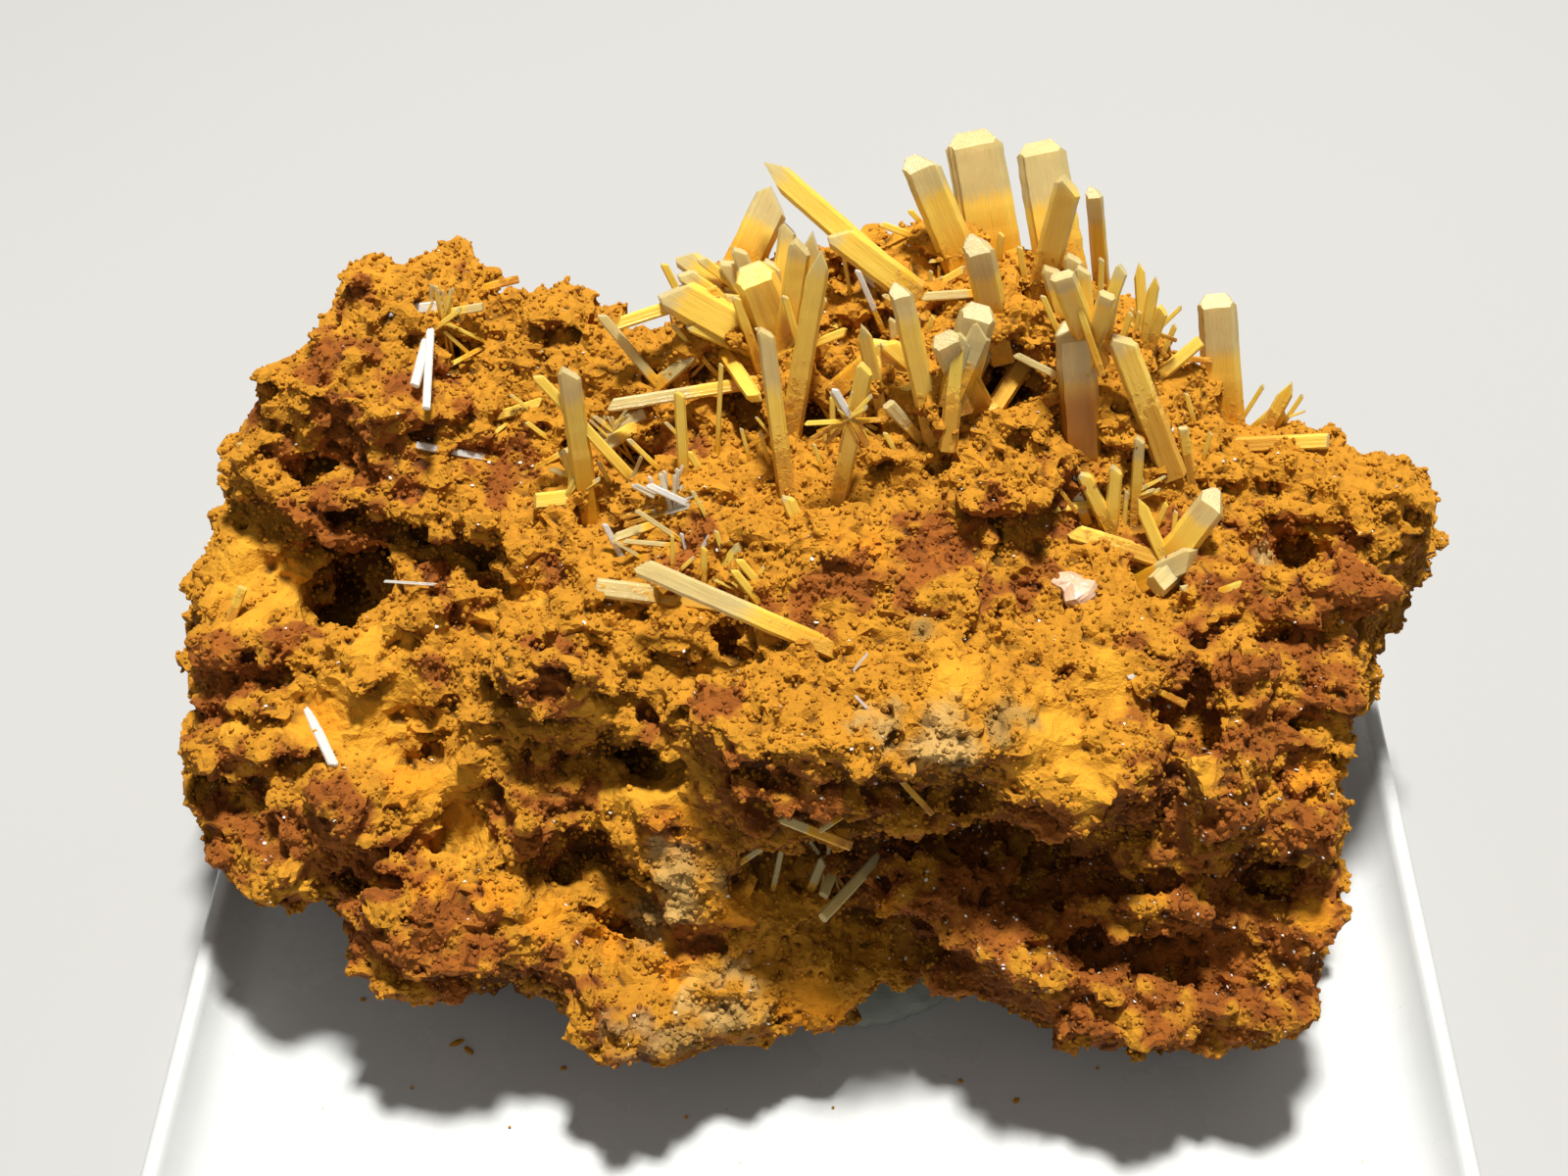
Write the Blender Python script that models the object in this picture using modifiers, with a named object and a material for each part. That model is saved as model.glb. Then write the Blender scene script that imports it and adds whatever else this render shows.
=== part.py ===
# Gypsum crystals on crumbly limonite, stuck with putty to the base of a small specimen box.
# Metres, +Z up, +Y away from the side the specimen is seen from. The origin is the middle of
# the underside of the box base.
import math

import bmesh
import bpy
from mathutils import Matrix, Vector, noise
from mathutils.bvhtree import BVHTree

MM = 0.001

# Box base
BOX_SIDE = 60.0 * MM
BOX_HEIGHT = 3.5 * MM
BOX_CORNER = 2.0 * MM
LIP_WIDTH = 0.9 * MM
LIP_CORNER = 1.4 * MM
WALL_SLOPE = 1.7 * MM
FLOOR_HEIGHT = 1.6 * MM
FLOOR_CORNER = 0.8 * MM
LIP_ROUNDING = 0.25 * MM
CORNER_STEPS = 3

# Mounting putty, pressed flat: rounded lumps of middle x, y and half sizes, in millimetres
PUTTY_LUMPS = [
    (1.0, 4.0, 11.0, 11.5),
    (-9.0, 3.0, 7.5, 8.0),
    (9.0, 5.5, 6.5, 7.5),
]
PUTTY_TOP = 4.4 * MM
PUTTY_VOXEL = 0.6 * MM
PUTTY_TRIANGLES = 180

# Everything that touches keeps this gap
GAP = 0.3 * MM

# Where the specimen is seen from. The stone and its crystals are laid out along the sight
# lines of this view, by points of a 1600 by 1200 picture.
EYE = Vector((0.0, -64.0 * MM, 90.8 * MM))
VIEW_TURN = math.radians(1.43)
VIEW_DIP = math.radians(46.0)
FOCAL_PX = 2200.0
PICTURE_MIDDLE = (800.0, 600.0)
AHEAD = Vector(
    (
        -math.sin(VIEW_TURN) * math.cos(VIEW_DIP),
        math.cos(VIEW_TURN) * math.cos(VIEW_DIP),
        -math.sin(VIEW_DIP),
    )
)
RIGHT = Vector((math.cos(VIEW_TURN), math.sin(VIEW_TURN), 0.0))
UP = RIGHT.cross(AHEAD)

# Stone
STONE_BOTTOM = 2.0 * MM
BODY_VOXEL = 0.9 * MM
FORM_VOXEL = 0.55 * MM
STONE_TRIANGLES = 3850
CONE_NEAR = 60.0 * MM
CONE_FAR = 150.0 * MM

# Main masses of the stone: middle x, y, z and half sizes, in millimetres
BODY_MASSES = [
    (0.0, 6.5, 13.5, 19.0, 14.0, 12.0),
    (6.0, 12.5, 19.0, 14.0, 8.5, 12.4),
    (-2.0, 14.5, 20.0, 9.0, 7.0, 9.5),
    (-16.0, 6.5, 11.0, 13.5, 13.5, 8.6),
    (-20.5, 14.5, 18.0, 9.5, 8.5, 10.6),
    (-25.0, 6.0, 12.5, 7.0, 9.0, 6.5),
    (-11.5, 14.5, 18.0, 9.5, 7.5, 9.6),
    (16.0, 5.0, 13.5, 13.0, 12.0, 10.6),
    (21.5, 9.0, 16.0, 10.0, 7.5, 8.0),
    (3.5, -1.0, 18.0, 9.5, 6.0, 3.8),
    (11.5, -1.6, 17.0, 5.6, 5.6, 3.2),
    (20.0, 0.0, 11.5, 8.0, 7.8, 7.8),
    (15.0, -4.0, 7.0, 12.5, 7.2, 5.4),
    (23.0, -2.0, 8.5, 6.5, 8.0, 5.5),
    (-15.5, -2.0, 8.0, 11.0, 7.0, 6.0),
    (-9.5, -1.5, 8.0, 8.5, 8.5, 6.6),
    (-9.0, -5.0, 6.5, 8.0, 7.5, 4.5),
    (-22.0, 0.0, 8.5, 7.5, 6.0, 5.0),
    (1.0, -3.0, 7.0, 9.0, 6.5, 4.4),
]

# Outline of the stone as seen, clockwise from its upper left corner. It is drawn in a little,
# because the forms and the weathering stand out past it.
OUTLINE_DRAW_IN_PX = 3.0
OUTLINE_PX = [
    (352, 283), (368, 276), (402, 290), (430, 266), (478, 266), (492, 290), (541, 300),
    (580, 302), (612, 322), (650, 345), (700, 330), (740, 268), (775, 252), (830, 265),
    (880, 246), (932, 230), (985, 240), (1050, 232), (1100, 240), (1136, 262), (1141, 306),
    (1188, 338), (1206, 372), (1240, 392), (1290, 408), (1330, 436), (1375, 448),
    (1400, 474), (1436, 474), (1462, 486), (1470, 520), (1468, 560), (1440, 582),
    (1422, 618), (1398, 655), (1403, 682), (1384, 704), (1370, 738), (1376, 778),
    (1346, 790), (1368, 842), (1370, 880), (1341, 902), (1360, 940), (1349, 985),
    (1320, 1040), (1270, 1076), (1200, 1066), (1150, 1062), (1082, 1054), (1035, 1035),
    (985, 1004), (935, 990), (880, 1008), (848, 1050), (812, 1046), (770, 1072),
    (735, 1072), (690, 1090), (640, 1068), (604, 1040), (572, 1008), (520, 998),
    (450, 1006), (398, 988), (360, 958), (350, 912), (330, 908), (266, 916), (238, 888),
    (214, 858), (200, 822), (210, 784), (196, 752), (201, 706), (188, 668), (206, 622),
    (206, 582), (231, 542), (226, 500), (246, 460), (258, 430), (290, 400), (322, 358),
    (346, 318),
]

# Forms added to the stone. Each row has the picture point they are seen at, half sizes
# across, back and up in millimetres, the roll in degrees (positive falls to the right) and
# how deep the middle lies under the surface in millimetres.
ADDED_FORMS = [
    (380, 300, 2.4, 2.0, 2.0, 0, 0.9),
    (455, 285, 2.4, 2.0, 1.8, 0, 0.8),
    (560, 330, 2.6, 2.2, 1.8, 15, 0.8),
    (310, 400, 2.6, 2.2, 1.8, -20, 0.8),
    (400, 420, 3.0, 2.2, 1.4, 10, 0.6),
    (275, 470, 2.8, 2.4, 1.6, 10, 0.8),
    (470, 480, 3.6, 2.2, 1.2, 14, 0.5),
    (400, 522, 6.0, 2.4, 1.1, 8, 0.2),
    (545, 545, 4.2, 2.2, 1.2, 18, 0.4),
    (250, 575, 2.2, 2.2, 1.7, 0, 0.3),
    (258, 658, 3.6, 2.8, 1.3, 4, 0.2),
    (473, 608, 4.0, 2.4, 1.1, 16, 0.3),
    (470, 652, 3.6, 2.2, 1.0, 20, 0.3),
    (596, 688, 5.6, 2.6, 1.3, 12, 0.3),
    (640, 640, 4.4, 2.4, 1.1, 18, 0.4),
    (368, 690, 1.5, 1.6, 1.8, 0, 0.2),
    (527, 745, 3.2, 2.2, 1.0, 12, 0.2),
    (258, 755, 3.4, 2.6, 1.3, -4, 0.2),
    (357, 822, 3.2, 2.8, 2.6, 0, 0.8),
    (545, 845, 2.4, 2.2, 2.2, 0, 0.5),
    (240, 820, 2.6, 2.2, 1.2, 0, 0.3),
    (290, 872, 3.6, 2.6, 1.9, 6, 0.7),
    (432, 956, 3.9, 3.0, 2.6, 8, 1.0),
    (545, 950, 7.8, 2.4, 1.6, 20, 0.3),
    (650, 1040, 3.4, 2.4, 2.2, 20, 0.8),
    (748, 1030, 2.8, 2.2, 2.0, 0, 0.8),
    (710, 905, 2.0, 2.0, 2.4, 20, 0.3),
    (775, 912, 1.9, 1.9, 1.8, 0, 0.4),
    (838, 1020, 1.9, 1.7, 1.8, 0, 0.6),
    (865, 715, 7.6, 4.6, 1.7, -3, 0.1),
    (990, 725, 4.0, 3.8, 1.6, -6, 0.1),
    (1108, 772, 4.2, 3.4, 1.9, -14, 0.2),
    (820, 805, 4.2, 2.4, 1.9, 0, 0.5),
    (930, 902, 2.3, 2.0, 1.4, -6, 0.4),
    (1186, 912, 3.6, 2.6, 1.6, -12, 0.3),
    (1055, 960, 4.4, 2.6, 1.5, 12, 0.3),
    (1150, 1020, 4.4, 2.8, 1.4, -4, 0.4),
    (1285, 1015, 2.8, 2.4, 1.6, -14, 0.4),
    (1330, 844, 2.0, 2.2, 2.2, 0, 0.3),
    (1335, 932, 1.5, 1.8, 1.7, 0, 0.3),
    (1241, 798, 2.4, 2.4, 3.4, -12, 0.4),
    (1365, 718, 1.3, 1.6, 0.9, 0, 0.0),
    (1360, 768, 1.2, 1.4, 0.8, 0, 0.0),
    (1405, 520, 2.8, 2.4, 2.0, 20, 0.5),
    (1330, 620, 3.8, 2.6, 1.8, -24, 0.5),
    (1240, 700, 3.0, 2.4, 1.6, -24, 0.4),
    (1110, 640, 4.4, 3.2, 1.2, -10, 0.3),
    (940, 600, 3.8, 3.0, 1.1, 4, 0.3),
    (860, 560, 3.2, 2.6, 1.3, 8, 0.3),
    (1010, 480, 3.6, 2.6, 1.3, -12, 0.3),
    (1230, 480, 3.4, 2.6, 1.4, 16, 0.4),
    (1330, 470, 3.0, 2.2, 1.3, 14, 0.3),
    (720, 500, 3.4, 2.4, 1.1, 4, 0.3),
    (900, 270, 4.4, 2.2, 1.4, -10, 0.5),
    (1060, 300, 3.6, 2.2, 1.5, 14, 0.4),
    (760, 300, 2.4, 2.2, 2.0, 0, 0.6),
    (690, 365, 2.6, 2.2, 1.4, 0, 0.4),
]

# Pits and hollows, in the same columns
PITS = [
    (465, 364, 1.4, 2.0, 1.4, 10, 0.2),
    (450, 560, 4.0, 2.4, 1.0, 12, 0.7),
    (357, 606, 2.1, 2.8, 2.6, 10, 0.7),
    (320, 470, 2.6, 1.8, 0.8, 12, 0.3),
    (540, 625, 3.2, 1.6, 0.7, 18, 0.2),
    (415, 760, 2.2, 1.6, 1.6, 10, 0.2),
    (655, 778, 2.2, 2.6, 1.1, 6, 0.8),
    (600, 790, 2.0, 1.6, 0.9, 10, 0.2),
    (262, 790, 2.8, 1.8, 0.9, -4, 0.4),
    (262, 706, 2.6, 1.6, 0.7, 0, 0.3),
    (470, 850, 2.2, 1.4, 2.2, 20, 0.2),
    (600, 885, 2.4, 2.6, 1.5, 14, 0.6),
    (636, 936, 3.8, 2.0, 0.8, 28, 0.5),
    (829, 892, 3.7, 3.4, 2.4, 0, 0.9),
    (1010, 862, 5.4, 2.6, 2.0, 8, 0.8),
    (900, 960, 3.4, 2.2, 1.4, 10, 0.6),
    (1100, 880, 2.8, 2.2, 1.2, -20, 0.4),
    (1215, 740, 1.4, 2.0, 2.8, -14, 0.4),
    (1150, 975, 4.2, 2.0, 1.0, -6, 0.4),
    (1300, 905, 2.0, 2.0, 1.2, -14, 0.4),
    (1325, 560, 2.0, 1.6, 1.4, -10, 0.3),
    (1380, 630, 2.0, 2.0, 1.3, -24, 0.4),
    (1290, 660, 2.6, 1.6, 0.7, -24, 0.2),
    (1022, 388, 2.2, 2.4, 1.7, -20, 0.7),
    (835, 428, 1.3, 1.8, 1.6, 0, 0.4),
    (757, 416, 1.7, 1.6, 1.0, 0, 0.4),
    (655, 462, 1.7, 1.6, 1.1, 0, 0.4),
    (627, 525, 1.1, 1.4, 0.9, 0, 0.3),
    (742, 662, 1.7, 1.8, 1.3, 14, 0.5),
    (1202, 622, 1.0, 1.4, 1.0, 0, 0.3),
    (905, 330, 2.2, 1.6, 1.2, 0, 0.3),
    (1050, 260, 1.2, 1.6, 1.2, 0, 0.3),
]

# Weathering of the stone: size of the pattern and how far it moves the surface
COARSE_SIZE = 5.0 * MM
COARSE_DEPTH = 1.5 * MM
FINE_SIZE = 1.9 * MM
FINE_DEPTH = 0.55 * MM
LUMP_LEVEL = 0.35
CRUMB_ROUGHNESS = 0.8
CRUMB_SPACING = 2.0
CRUMB_OCTAVES = 3
BED_SQUASH = 2.2
BED_DIP = math.radians(14.0)
STONE_MIDDLE_PX = (820.0, 660.0)
EDGE_STEP_PX = 3.0
EDGE_STEPS = 20

# Crystals. Each row has a name, the picture points of tip and root, the seen width in picture
# points, the lean towards the viewer in degrees, how flat it is, and its kind of tip.
PX_SIZE = MM / 21.5
BURIED = 1.3 * MM
SINGLE_CRYSTALS = [
    ("back_blade", (934, 156), (980, 266), 36, 18, 0.5, "point"),
    ("back_wide_tablet", (991, 134), (1022, 246), 58, 10, 0.38, "blunt"),
    ("back_clear_tablet", (1060, 144), (1090, 256), 48, 8, 0.4, "blunt"),
    ("back_side_blade", (1093, 178), (1063, 292), 27, 30, 0.6, "slant"),
    ("back_thin_blade", (1116, 192), (1127, 300), 17, 34, 0.7, "point"),
    ("back_front_prism", (996, 242), (1016, 334), 29, 34, 0.7, "point"),
    ("stubby_prism", (797, 188), (760, 266), 38, 4, 0.6, "slant"),
    ("sword_blade", (838, 256), (806, 446), 21, 26, 0.6, "spear"),
    ("long_needle", (780, 332), (803, 506), 17, 24, 0.8, "slant"),
    ("far_left_prism", (626, 332), (694, 310), 13, 6, 0.8, "slant"),
    ("far_left_needle", (611, 319), (671, 392), 10, 18, 0.8, "slant"),
    ("centre_prism", (917, 290), (956, 456), 22, 27, 0.7, "point"),
    ("centre_short_blade", (879, 332), (900, 420), 15, 32, 0.7, "spear"),
    ("block_prism", (884, 362), (922, 368), 34, 0, 0.7, "flat"),
    ("centre_blade", (884, 369), (854, 516), 17, 30, 0.7, "slant"),
    ("coated_prism", (987, 458), (1036, 384), 19, 30, 0.8, "slant"),
    ("upright_prism", (1096, 332), (1104, 446), 38, 30, 0.7, "blunt"),
    ("right_leaning_prism", (1140, 337), (1184, 452), 27, 26, 0.7, "slant"),
    ("right_cross_needle", (1226, 347), (1182, 385), 13, 2, 0.8, "flat"),
    ("right_tablet", (1241, 302), (1260, 420), 39, 24, 0.45, "blunt"),
    ("right_edge_blade", (1318, 390), (1293, 437), 15, 24, 0.7, "spear"),
    ("right_lying_prism", (1356, 450), (1296, 453), 16, 12, 0.8, "flat"),
    ("spray_right_needle", (1163, 444), (1158, 520), 11, 28, 0.8, "slant"),
    ("lying_clear_needle", (617, 415), (776, 389), 13, 6, 0.8, "slant"),
    ("grey_bar", (659, 420), (606, 449), 14, 12, 0.7, "flat"),
    ("thin_upright_needle", (693, 397), (698, 490), 11, 24, 0.8, "slant"),
    ("dusty_needle", (556, 409), (494, 429), 10, 14, 0.8, "slant"),
    ("white_needle", (424, 454), (480, 464), 8, 16, 0.8, "flat"),
    ("long_lying_blade", (646, 575), (852, 664), 19, 13, 0.6, "slant"),
    ("grey_lying_blade", (606, 599), (708, 612), 19, 6, 0.6, "flat"),
    ("front_small_prism", (757, 554), (735, 586), 12, 22, 0.8, "slant"),
    ("cavity_left_needle", (840, 914), (858, 868), 11, 30, 0.8, "flat"),
    ("cavity_right_needle", (839, 937), (901, 870), 11, 34, 0.8, "flat"),
    ("white_splinter", (342, 784), (317, 731), 10, 40, 0.5, "slant"),
    ("left_small_prism", (248, 599), (236, 631), 10, 24, 0.8, "flat"),
    ("pale_stub", (801, 503), (814, 533), 14, 20, 0.8, "slant"),
    ("grey_short_prism", (906, 412), (930, 438), 13, 34, 0.8, "flat"),
    ("small_upright_prism", (1207, 436), (1214, 482), 10, 30, 0.8, "flat"),
]

# Crystals grown together, fused in one node each. The rows drop the name.
CRYSTAL_GROUPS = {
    "leaning_blades": [
        ((779, 165), (936, 304), 24, 4, 0.5, "spear"),
        ((845, 233), (934, 300), 29, 12, 0.5, "slant"),
    ],
    "fan_cluster": [
        ((689, 256), (778, 322), 24, 2, 0.5, "slant"),
        ((671, 291), (782, 352), 40, 14, 0.5, "slant"),
        ((767, 274), (798, 352), 42, 30, 0.6, "blunt"),
        ((805, 225), (792, 330), 18, 12, 0.7, "slant"),
        ((829, 237), (808, 348), 31, 20, 0.5, "spear"),
    ],
    "rosette": [
        ((978, 350), (971, 420), 17, 20, 0.8, "flat"),
        ((963, 343), (984, 388), 30, 40, 0.5, "blunt"),
        ((1000, 314), (981, 382), 36, 30, 0.5, "blunt"),
    ],
    "right_cluster": [
        ((1083, 280), (1108, 342), 24, 38, 0.6, "flat"),
        ((1104, 269), (1110, 336), 15, 24, 0.7, "slant"),
        ((1147, 269), (1120, 344), 13, 20, 0.7, "slant"),
        ((1130, 300), (1116, 344), 17, 34, 0.7, "flat"),
    ],
    "right_needles": [
        ((1162, 268), (1167, 346), 11, 16, 0.8, "spear"),
        ((1179, 282), (1168, 350), 11, 22, 0.8, "spear"),
        ((1188, 311), (1174, 350), 13, 28, 0.7, "slant"),
    ],
    "right_spray": [
        ((1103, 479), (1130, 534), 15, 26, 0.8, "slant"),
        ((1139, 473), (1134, 536), 14, 24, 0.8, "slant"),
        ((1081, 457), (1102, 514), 13, 28, 0.8, "slant"),
        ((1075, 519), (1118, 513), 10, 22, 0.8, "flat"),
    ],
    "glassy_knot": [
        ((1246, 503), (1194, 570), 31, 22, 0.6, "point"),
        ((1161, 509), (1190, 576), 13, 20, 0.8, "spear"),
        ((1225, 566), (1182, 586), 26, 26, 0.8, "slant"),
        ((1178, 600), (1208, 572), 24, 34, 0.8, "flat"),
        ((1088, 541), (1182, 570), 18, 12, 0.6, "slant"),
    ],
    "clear_tipped_needles": [
        ((579, 372), (599, 512), 22, 30, 0.6, "slant"),
        ((545, 512), (600, 506), 17, 14, 0.7, "flat"),
        ((545, 381), (667, 512), 11, 20, 0.8, "slant"),
    ],
    "white_spray": [
        ((397, 318), (444, 313), 11, 30, 0.5, "flat"),
        ((423, 394), (441, 326), 10, 42, 0.6, "flat"),
        ((435, 417), (440, 322), 8, 52, 0.6, "flat"),
        ((493, 313), (438, 323), 9, 24, 0.6, "flat"),
    ],
}

# The pale crust is a few low plates: picture point, half sizes in millimetres and roll
PALE_CRUST = [
    (1090, 598, 0.9, 0.5, 0.6, 20),
    (1103, 606, 0.7, 0.5, 0.6, -30),
    (1098, 612, 0.5, 0.4, 0.45, 10),
]
CRUST_VOXEL = 0.25 * MM
CRUST_TRIANGLES = 90

# Cuts that shape a crystal's tip: how far they start from the middle, as a share of half the
# width, how far below the tip, as a share of the width, and the tilt across and through
TIP_CUTS = {
    "flat": [(0.0, 0.05, 8.0, 4.0)],
    "slant": [(0.0, 0.35, 38.0, 8.0), (-0.7, 0.3, -48.0, 0.0)],
    "point": [(0.0, 0.1, 46.0, 0.0), (-0.35, 0.05, -36.0, 10.0), (0.0, 0.25, 0.0, 40.0)],
    "blunt": [(0.45, 0.0, 48.0, 0.0), (-0.5, 0.0, -44.0, 0.0), (0.0, 0.12, 0.0, 36.0)],
    "spear": [(0.0, 0.0, 62.0, 0.0), (0.0, 0.0, -70.0, 0.0)],
}
CRYSTAL_SIDES = 6
SIDE_BEVEL = 0.3
EDGE_CORNER = 0.9

# Colours, linear, with roughness
OCHRE = ((0.46, 0.19, 0.03), 0.95)
HONEY = ((0.72, 0.47, 0.11), 0.35)
CLEAR_HONEY = ((0.80, 0.62, 0.28), 0.18)
WHITE_PLASTIC = ((0.86, 0.87, 0.87), 0.3)
GREY_PUTTY = ((0.30, 0.33, 0.27), 0.6)


def sight(px, py):
    """Direction of the sight line through a picture point."""
    across = (px - PICTURE_MIDDLE[0]) / FOCAL_PX
    down = (py - PICTURE_MIDDLE[1]) / FOCAL_PX
    return (AHEAD + RIGHT * across - UP * down).normalized()


def clear_scene():
    for old in list(bpy.data.objects):
        bpy.data.objects.remove(old, do_unlink=True)


def new_collection(name):
    collection = bpy.data.collections.new(name)
    bpy.context.scene.collection.children.link(collection)
    return collection


def principled(name, look, transmission=0.0):
    colour, roughness = look
    material = bpy.data.materials.new(name)
    material.use_nodes = True
    shader = material.node_tree.nodes["Principled BSDF"]
    shader.inputs["Base Color"].default_value = (*colour, 1.0)
    shader.inputs["Roughness"].default_value = roughness
    shader.inputs["Metallic"].default_value = 0.0
    shader.inputs["Transmission Weight"].default_value = transmission
    material.diffuse_color = (*colour, 1.0)
    return material


def add_object(name, bm, collection, material=None):
    mesh = bpy.data.meshes.new(name)
    bm.to_mesh(mesh)
    bm.free()
    obj = bpy.data.objects.new(name, mesh)
    collection.objects.link(obj)
    if material:
        mesh.materials.append(material)
    return obj


def evaluated_mesh(obj):
    bpy.context.view_layer.update()
    graph = bpy.context.evaluated_depsgraph_get()
    return bpy.data.meshes.new_from_object(obj.evaluated_get(graph))


def bake_modifiers(obj):
    """Keeps the shape that the modifiers give and clears them."""
    baked = evaluated_mesh(obj)
    obj.modifiers.clear()
    old = obj.data
    obj.data = baked
    bpy.data.meshes.remove(old)


def boolean(obj, operation, other=None, collection=None):
    modifier = obj.modifiers.new(operation.lower(), "BOOLEAN")
    modifier.operation = operation
    modifier.solver = "EXACT"
    if collection:
        modifier.operand_type = "COLLECTION"
        modifier.collection = collection
    else:
        modifier.object = other
    bake_modifiers(obj)


def voxel_skin(obj, voxel):
    """Joins the shells of a mesh under one even skin."""
    modifier = obj.modifiers.new("skin", "REMESH")
    modifier.mode = "VOXEL"
    modifier.voxel_size = voxel
    bake_modifiers(obj)


def keep_largest_body(bm):
    bm.verts.ensure_lookup_table()
    unseen = set(bm.verts)
    bodies = []
    while unseen:
        body = {next(iter(unseen))}
        edge = list(body)
        while edge:
            vert = edge.pop()
            for link in vert.link_edges:
                other = link.other_vert(vert)
                if other not in body:
                    body.add(other)
                    edge.append(other)
        unseen -= body
        bodies.append(body)
    bodies.sort(key=len, reverse=True)
    loose = [vert for body in bodies[1:] for vert in body]
    bmesh.ops.delete(bm, geom=loose, context="VERTS")


def add_ellipsoid(bm, middle, half, turn=None, detail=3):
    """An ellipsoid of half sizes along its own axes, turned about its middle."""
    scale = Matrix.Diagonal((*half, 1.0))
    spin = turn.to_4x4() if turn else Matrix.Identity(4)
    place = Matrix.Translation(middle) @ spin @ scale
    bmesh.ops.create_icosphere(bm, subdivisions=detail, radius=1.0, matrix=place)


def stone_tree(obj):
    bm = bmesh.new()
    bm.from_mesh(obj.data)
    tree = BVHTree.FromBMesh(bm)
    bm.free()
    return tree


def hit(tree, px, py):
    """Point of the stone under a picture point, or the next one inwards past its edge."""
    inwards = inwards_from(px, py)
    for step in range(EDGE_STEPS):
        move = inwards * step * EDGE_STEP_PX
        point = tree.ray_cast(EYE, sight(px + move.x, py + move.y))[0]
        if point is not None:
            return point
    raise ValueError(f"no stone near {px}, {py}")


def add_seen_forms(bm, tree, rows):
    for px, py, across, back, tall, roll, sink in rows:
        point = hit(tree, px, py)
        middle = point + sight(px, py) * sink * MM
        turn = Matrix.Rotation(math.radians(roll), 3, "Y")
        add_ellipsoid(bm, middle, (across * MM, back * MM, tall * MM), turn)


def inwards_from(px, py):
    """Direction in the picture from a point towards the middle of the stone."""
    return Vector((STONE_MIDDLE_PX[0] - px, STONE_MIDDLE_PX[1] - py)).normalized()


def outline_cone(collection):
    """Cone of sight through the outline, which gives the stone its seen silhouette."""
    bm = bmesh.new()
    near = []
    for px, py in OUTLINE_PX:
        move = inwards_from(px, py) * OUTLINE_DRAW_IN_PX
        near.append(bm.verts.new(EYE + sight(px + move.x, py + move.y) * CONE_NEAR))
    cap = bm.faces.new(near)
    grown = bmesh.ops.extrude_face_region(bm, geom=[cap])
    far = [item for item in grown["geom"] if isinstance(item, bmesh.types.BMVert)]
    for vert in far:
        vert.co = EYE + (vert.co - EYE) * (CONE_FAR / CONE_NEAR)
    bmesh.ops.recalc_face_normals(bm, faces=bm.faces)
    cone = add_object("outline_cone", bm, collection)
    hide_cutter(cone)
    return cone


def bedded(point):
    """The point in the stone's bedding, where the layers are squashed together."""
    turned = Matrix.Rotation(-BED_DIP, 3, "Y") @ point
    return Vector((turned.x, turned.y, turned.z * BED_SQUASH))


def weathered(point):
    """How far the surface moves out at a point."""
    laid = bedded(point)
    near = noise.voronoi(laid / COARSE_SIZE)[0]
    lump = near[1] - near[0] - LUMP_LEVEL
    crumb = noise.fractal(laid / FINE_SIZE, CRUMB_ROUGHNESS, CRUMB_SPACING, CRUMB_OCTAVES)
    return lump * COARSE_DEPTH + crumb * FINE_DEPTH


def weather(obj):
    bm = bmesh.new()
    bm.from_mesh(obj.data)
    bm.normal_update()
    moves = [(vert, vert.normal * weathered(vert.co)) for vert in bm.verts]
    for vert, move in moves:
        vert.co += move
        vert.co.z = max(vert.co.z, STONE_BOTTOM)
    bm.to_mesh(obj.data)
    bm.free()


def one_body(obj):
    """Leaves the largest body in the mesh, as triangles, and counts them."""
    bm = bmesh.new()
    bm.from_mesh(obj.data)
    bmesh.ops.triangulate(bm, faces=bm.faces)
    keep_largest_body(bm)
    count = len(bm.faces)
    bm.to_mesh(obj.data)
    bm.free()
    return count


def thin_out(obj, triangles):
    modifier = obj.modifiers.new("thin", "DECIMATE")
    modifier.ratio = triangles / one_body(obj)
    modifier.use_collapse_triangulate = True
    bake_modifiers(obj)


def seat_in_stone(stone, sockets):
    """Opens the seats that the crystals and the putty sit in."""
    boolean(stone, "DIFFERENCE", collection=sockets)
    one_body(stone)


def stone_body(parts, cutters):
    """The joined masses inside the seen outline."""
    bm = bmesh.new()
    for x, y, z, across, back, tall in BODY_MASSES:
        middle = Vector((x, y, z)) * MM
        add_ellipsoid(bm, middle, (across * MM, back * MM, tall * MM), detail=4)
    stone = add_object("matrix", bm, parts, principled("stone", OCHRE))
    voxel_skin(stone, BODY_VOXEL)
    boolean(stone, "INTERSECT", outline_cone(cutters))
    voxel_skin(stone, BODY_VOXEL)
    return stone


def build_stone(parts, cutters):
    stone = stone_body(parts, cutters)
    tree = stone_tree(stone)
    bm = bmesh.new()
    bm.from_mesh(stone.data)
    add_seen_forms(bm, tree, ADDED_FORMS)
    bm.to_mesh(stone.data)
    bm.free()
    voxel_skin(stone, FORM_VOXEL)
    bm = bmesh.new()
    add_seen_forms(bm, tree, PITS)
    pits = add_object("pits", bm, cutters)
    hide_cutter(pits)
    voxel_skin(pits, FORM_VOXEL)
    boolean(stone, "DIFFERENCE", pits)
    voxel_skin(stone, FORM_VOXEL)
    weather(stone)
    voxel_skin(stone, FORM_VOXEL)
    thin_out(stone, STONE_TRIANGLES)
    return stone


def crystal_axes(root, tip):
    """Frame with Z along the crystal and X across it as seen."""
    along = (tip - root).normalized()
    toward = (EYE - root).normalized()
    across = along.cross(toward).normalized()
    through = along.cross(across)
    return Matrix((across, through, along)).transposed()


def crystal_tip(root, px, py, lean):
    """Point on the tip's sight line that leans so far towards the viewer."""
    line = sight(px, py)
    facing = sight_of(root)
    reach = (root - EYE).dot(facing) / line.dot(facing)
    level = EYE + line * reach
    return level - line * math.tan(math.radians(lean)) * (level - root).length


def sight_of(point):
    return (point - EYE).normalized()


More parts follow.
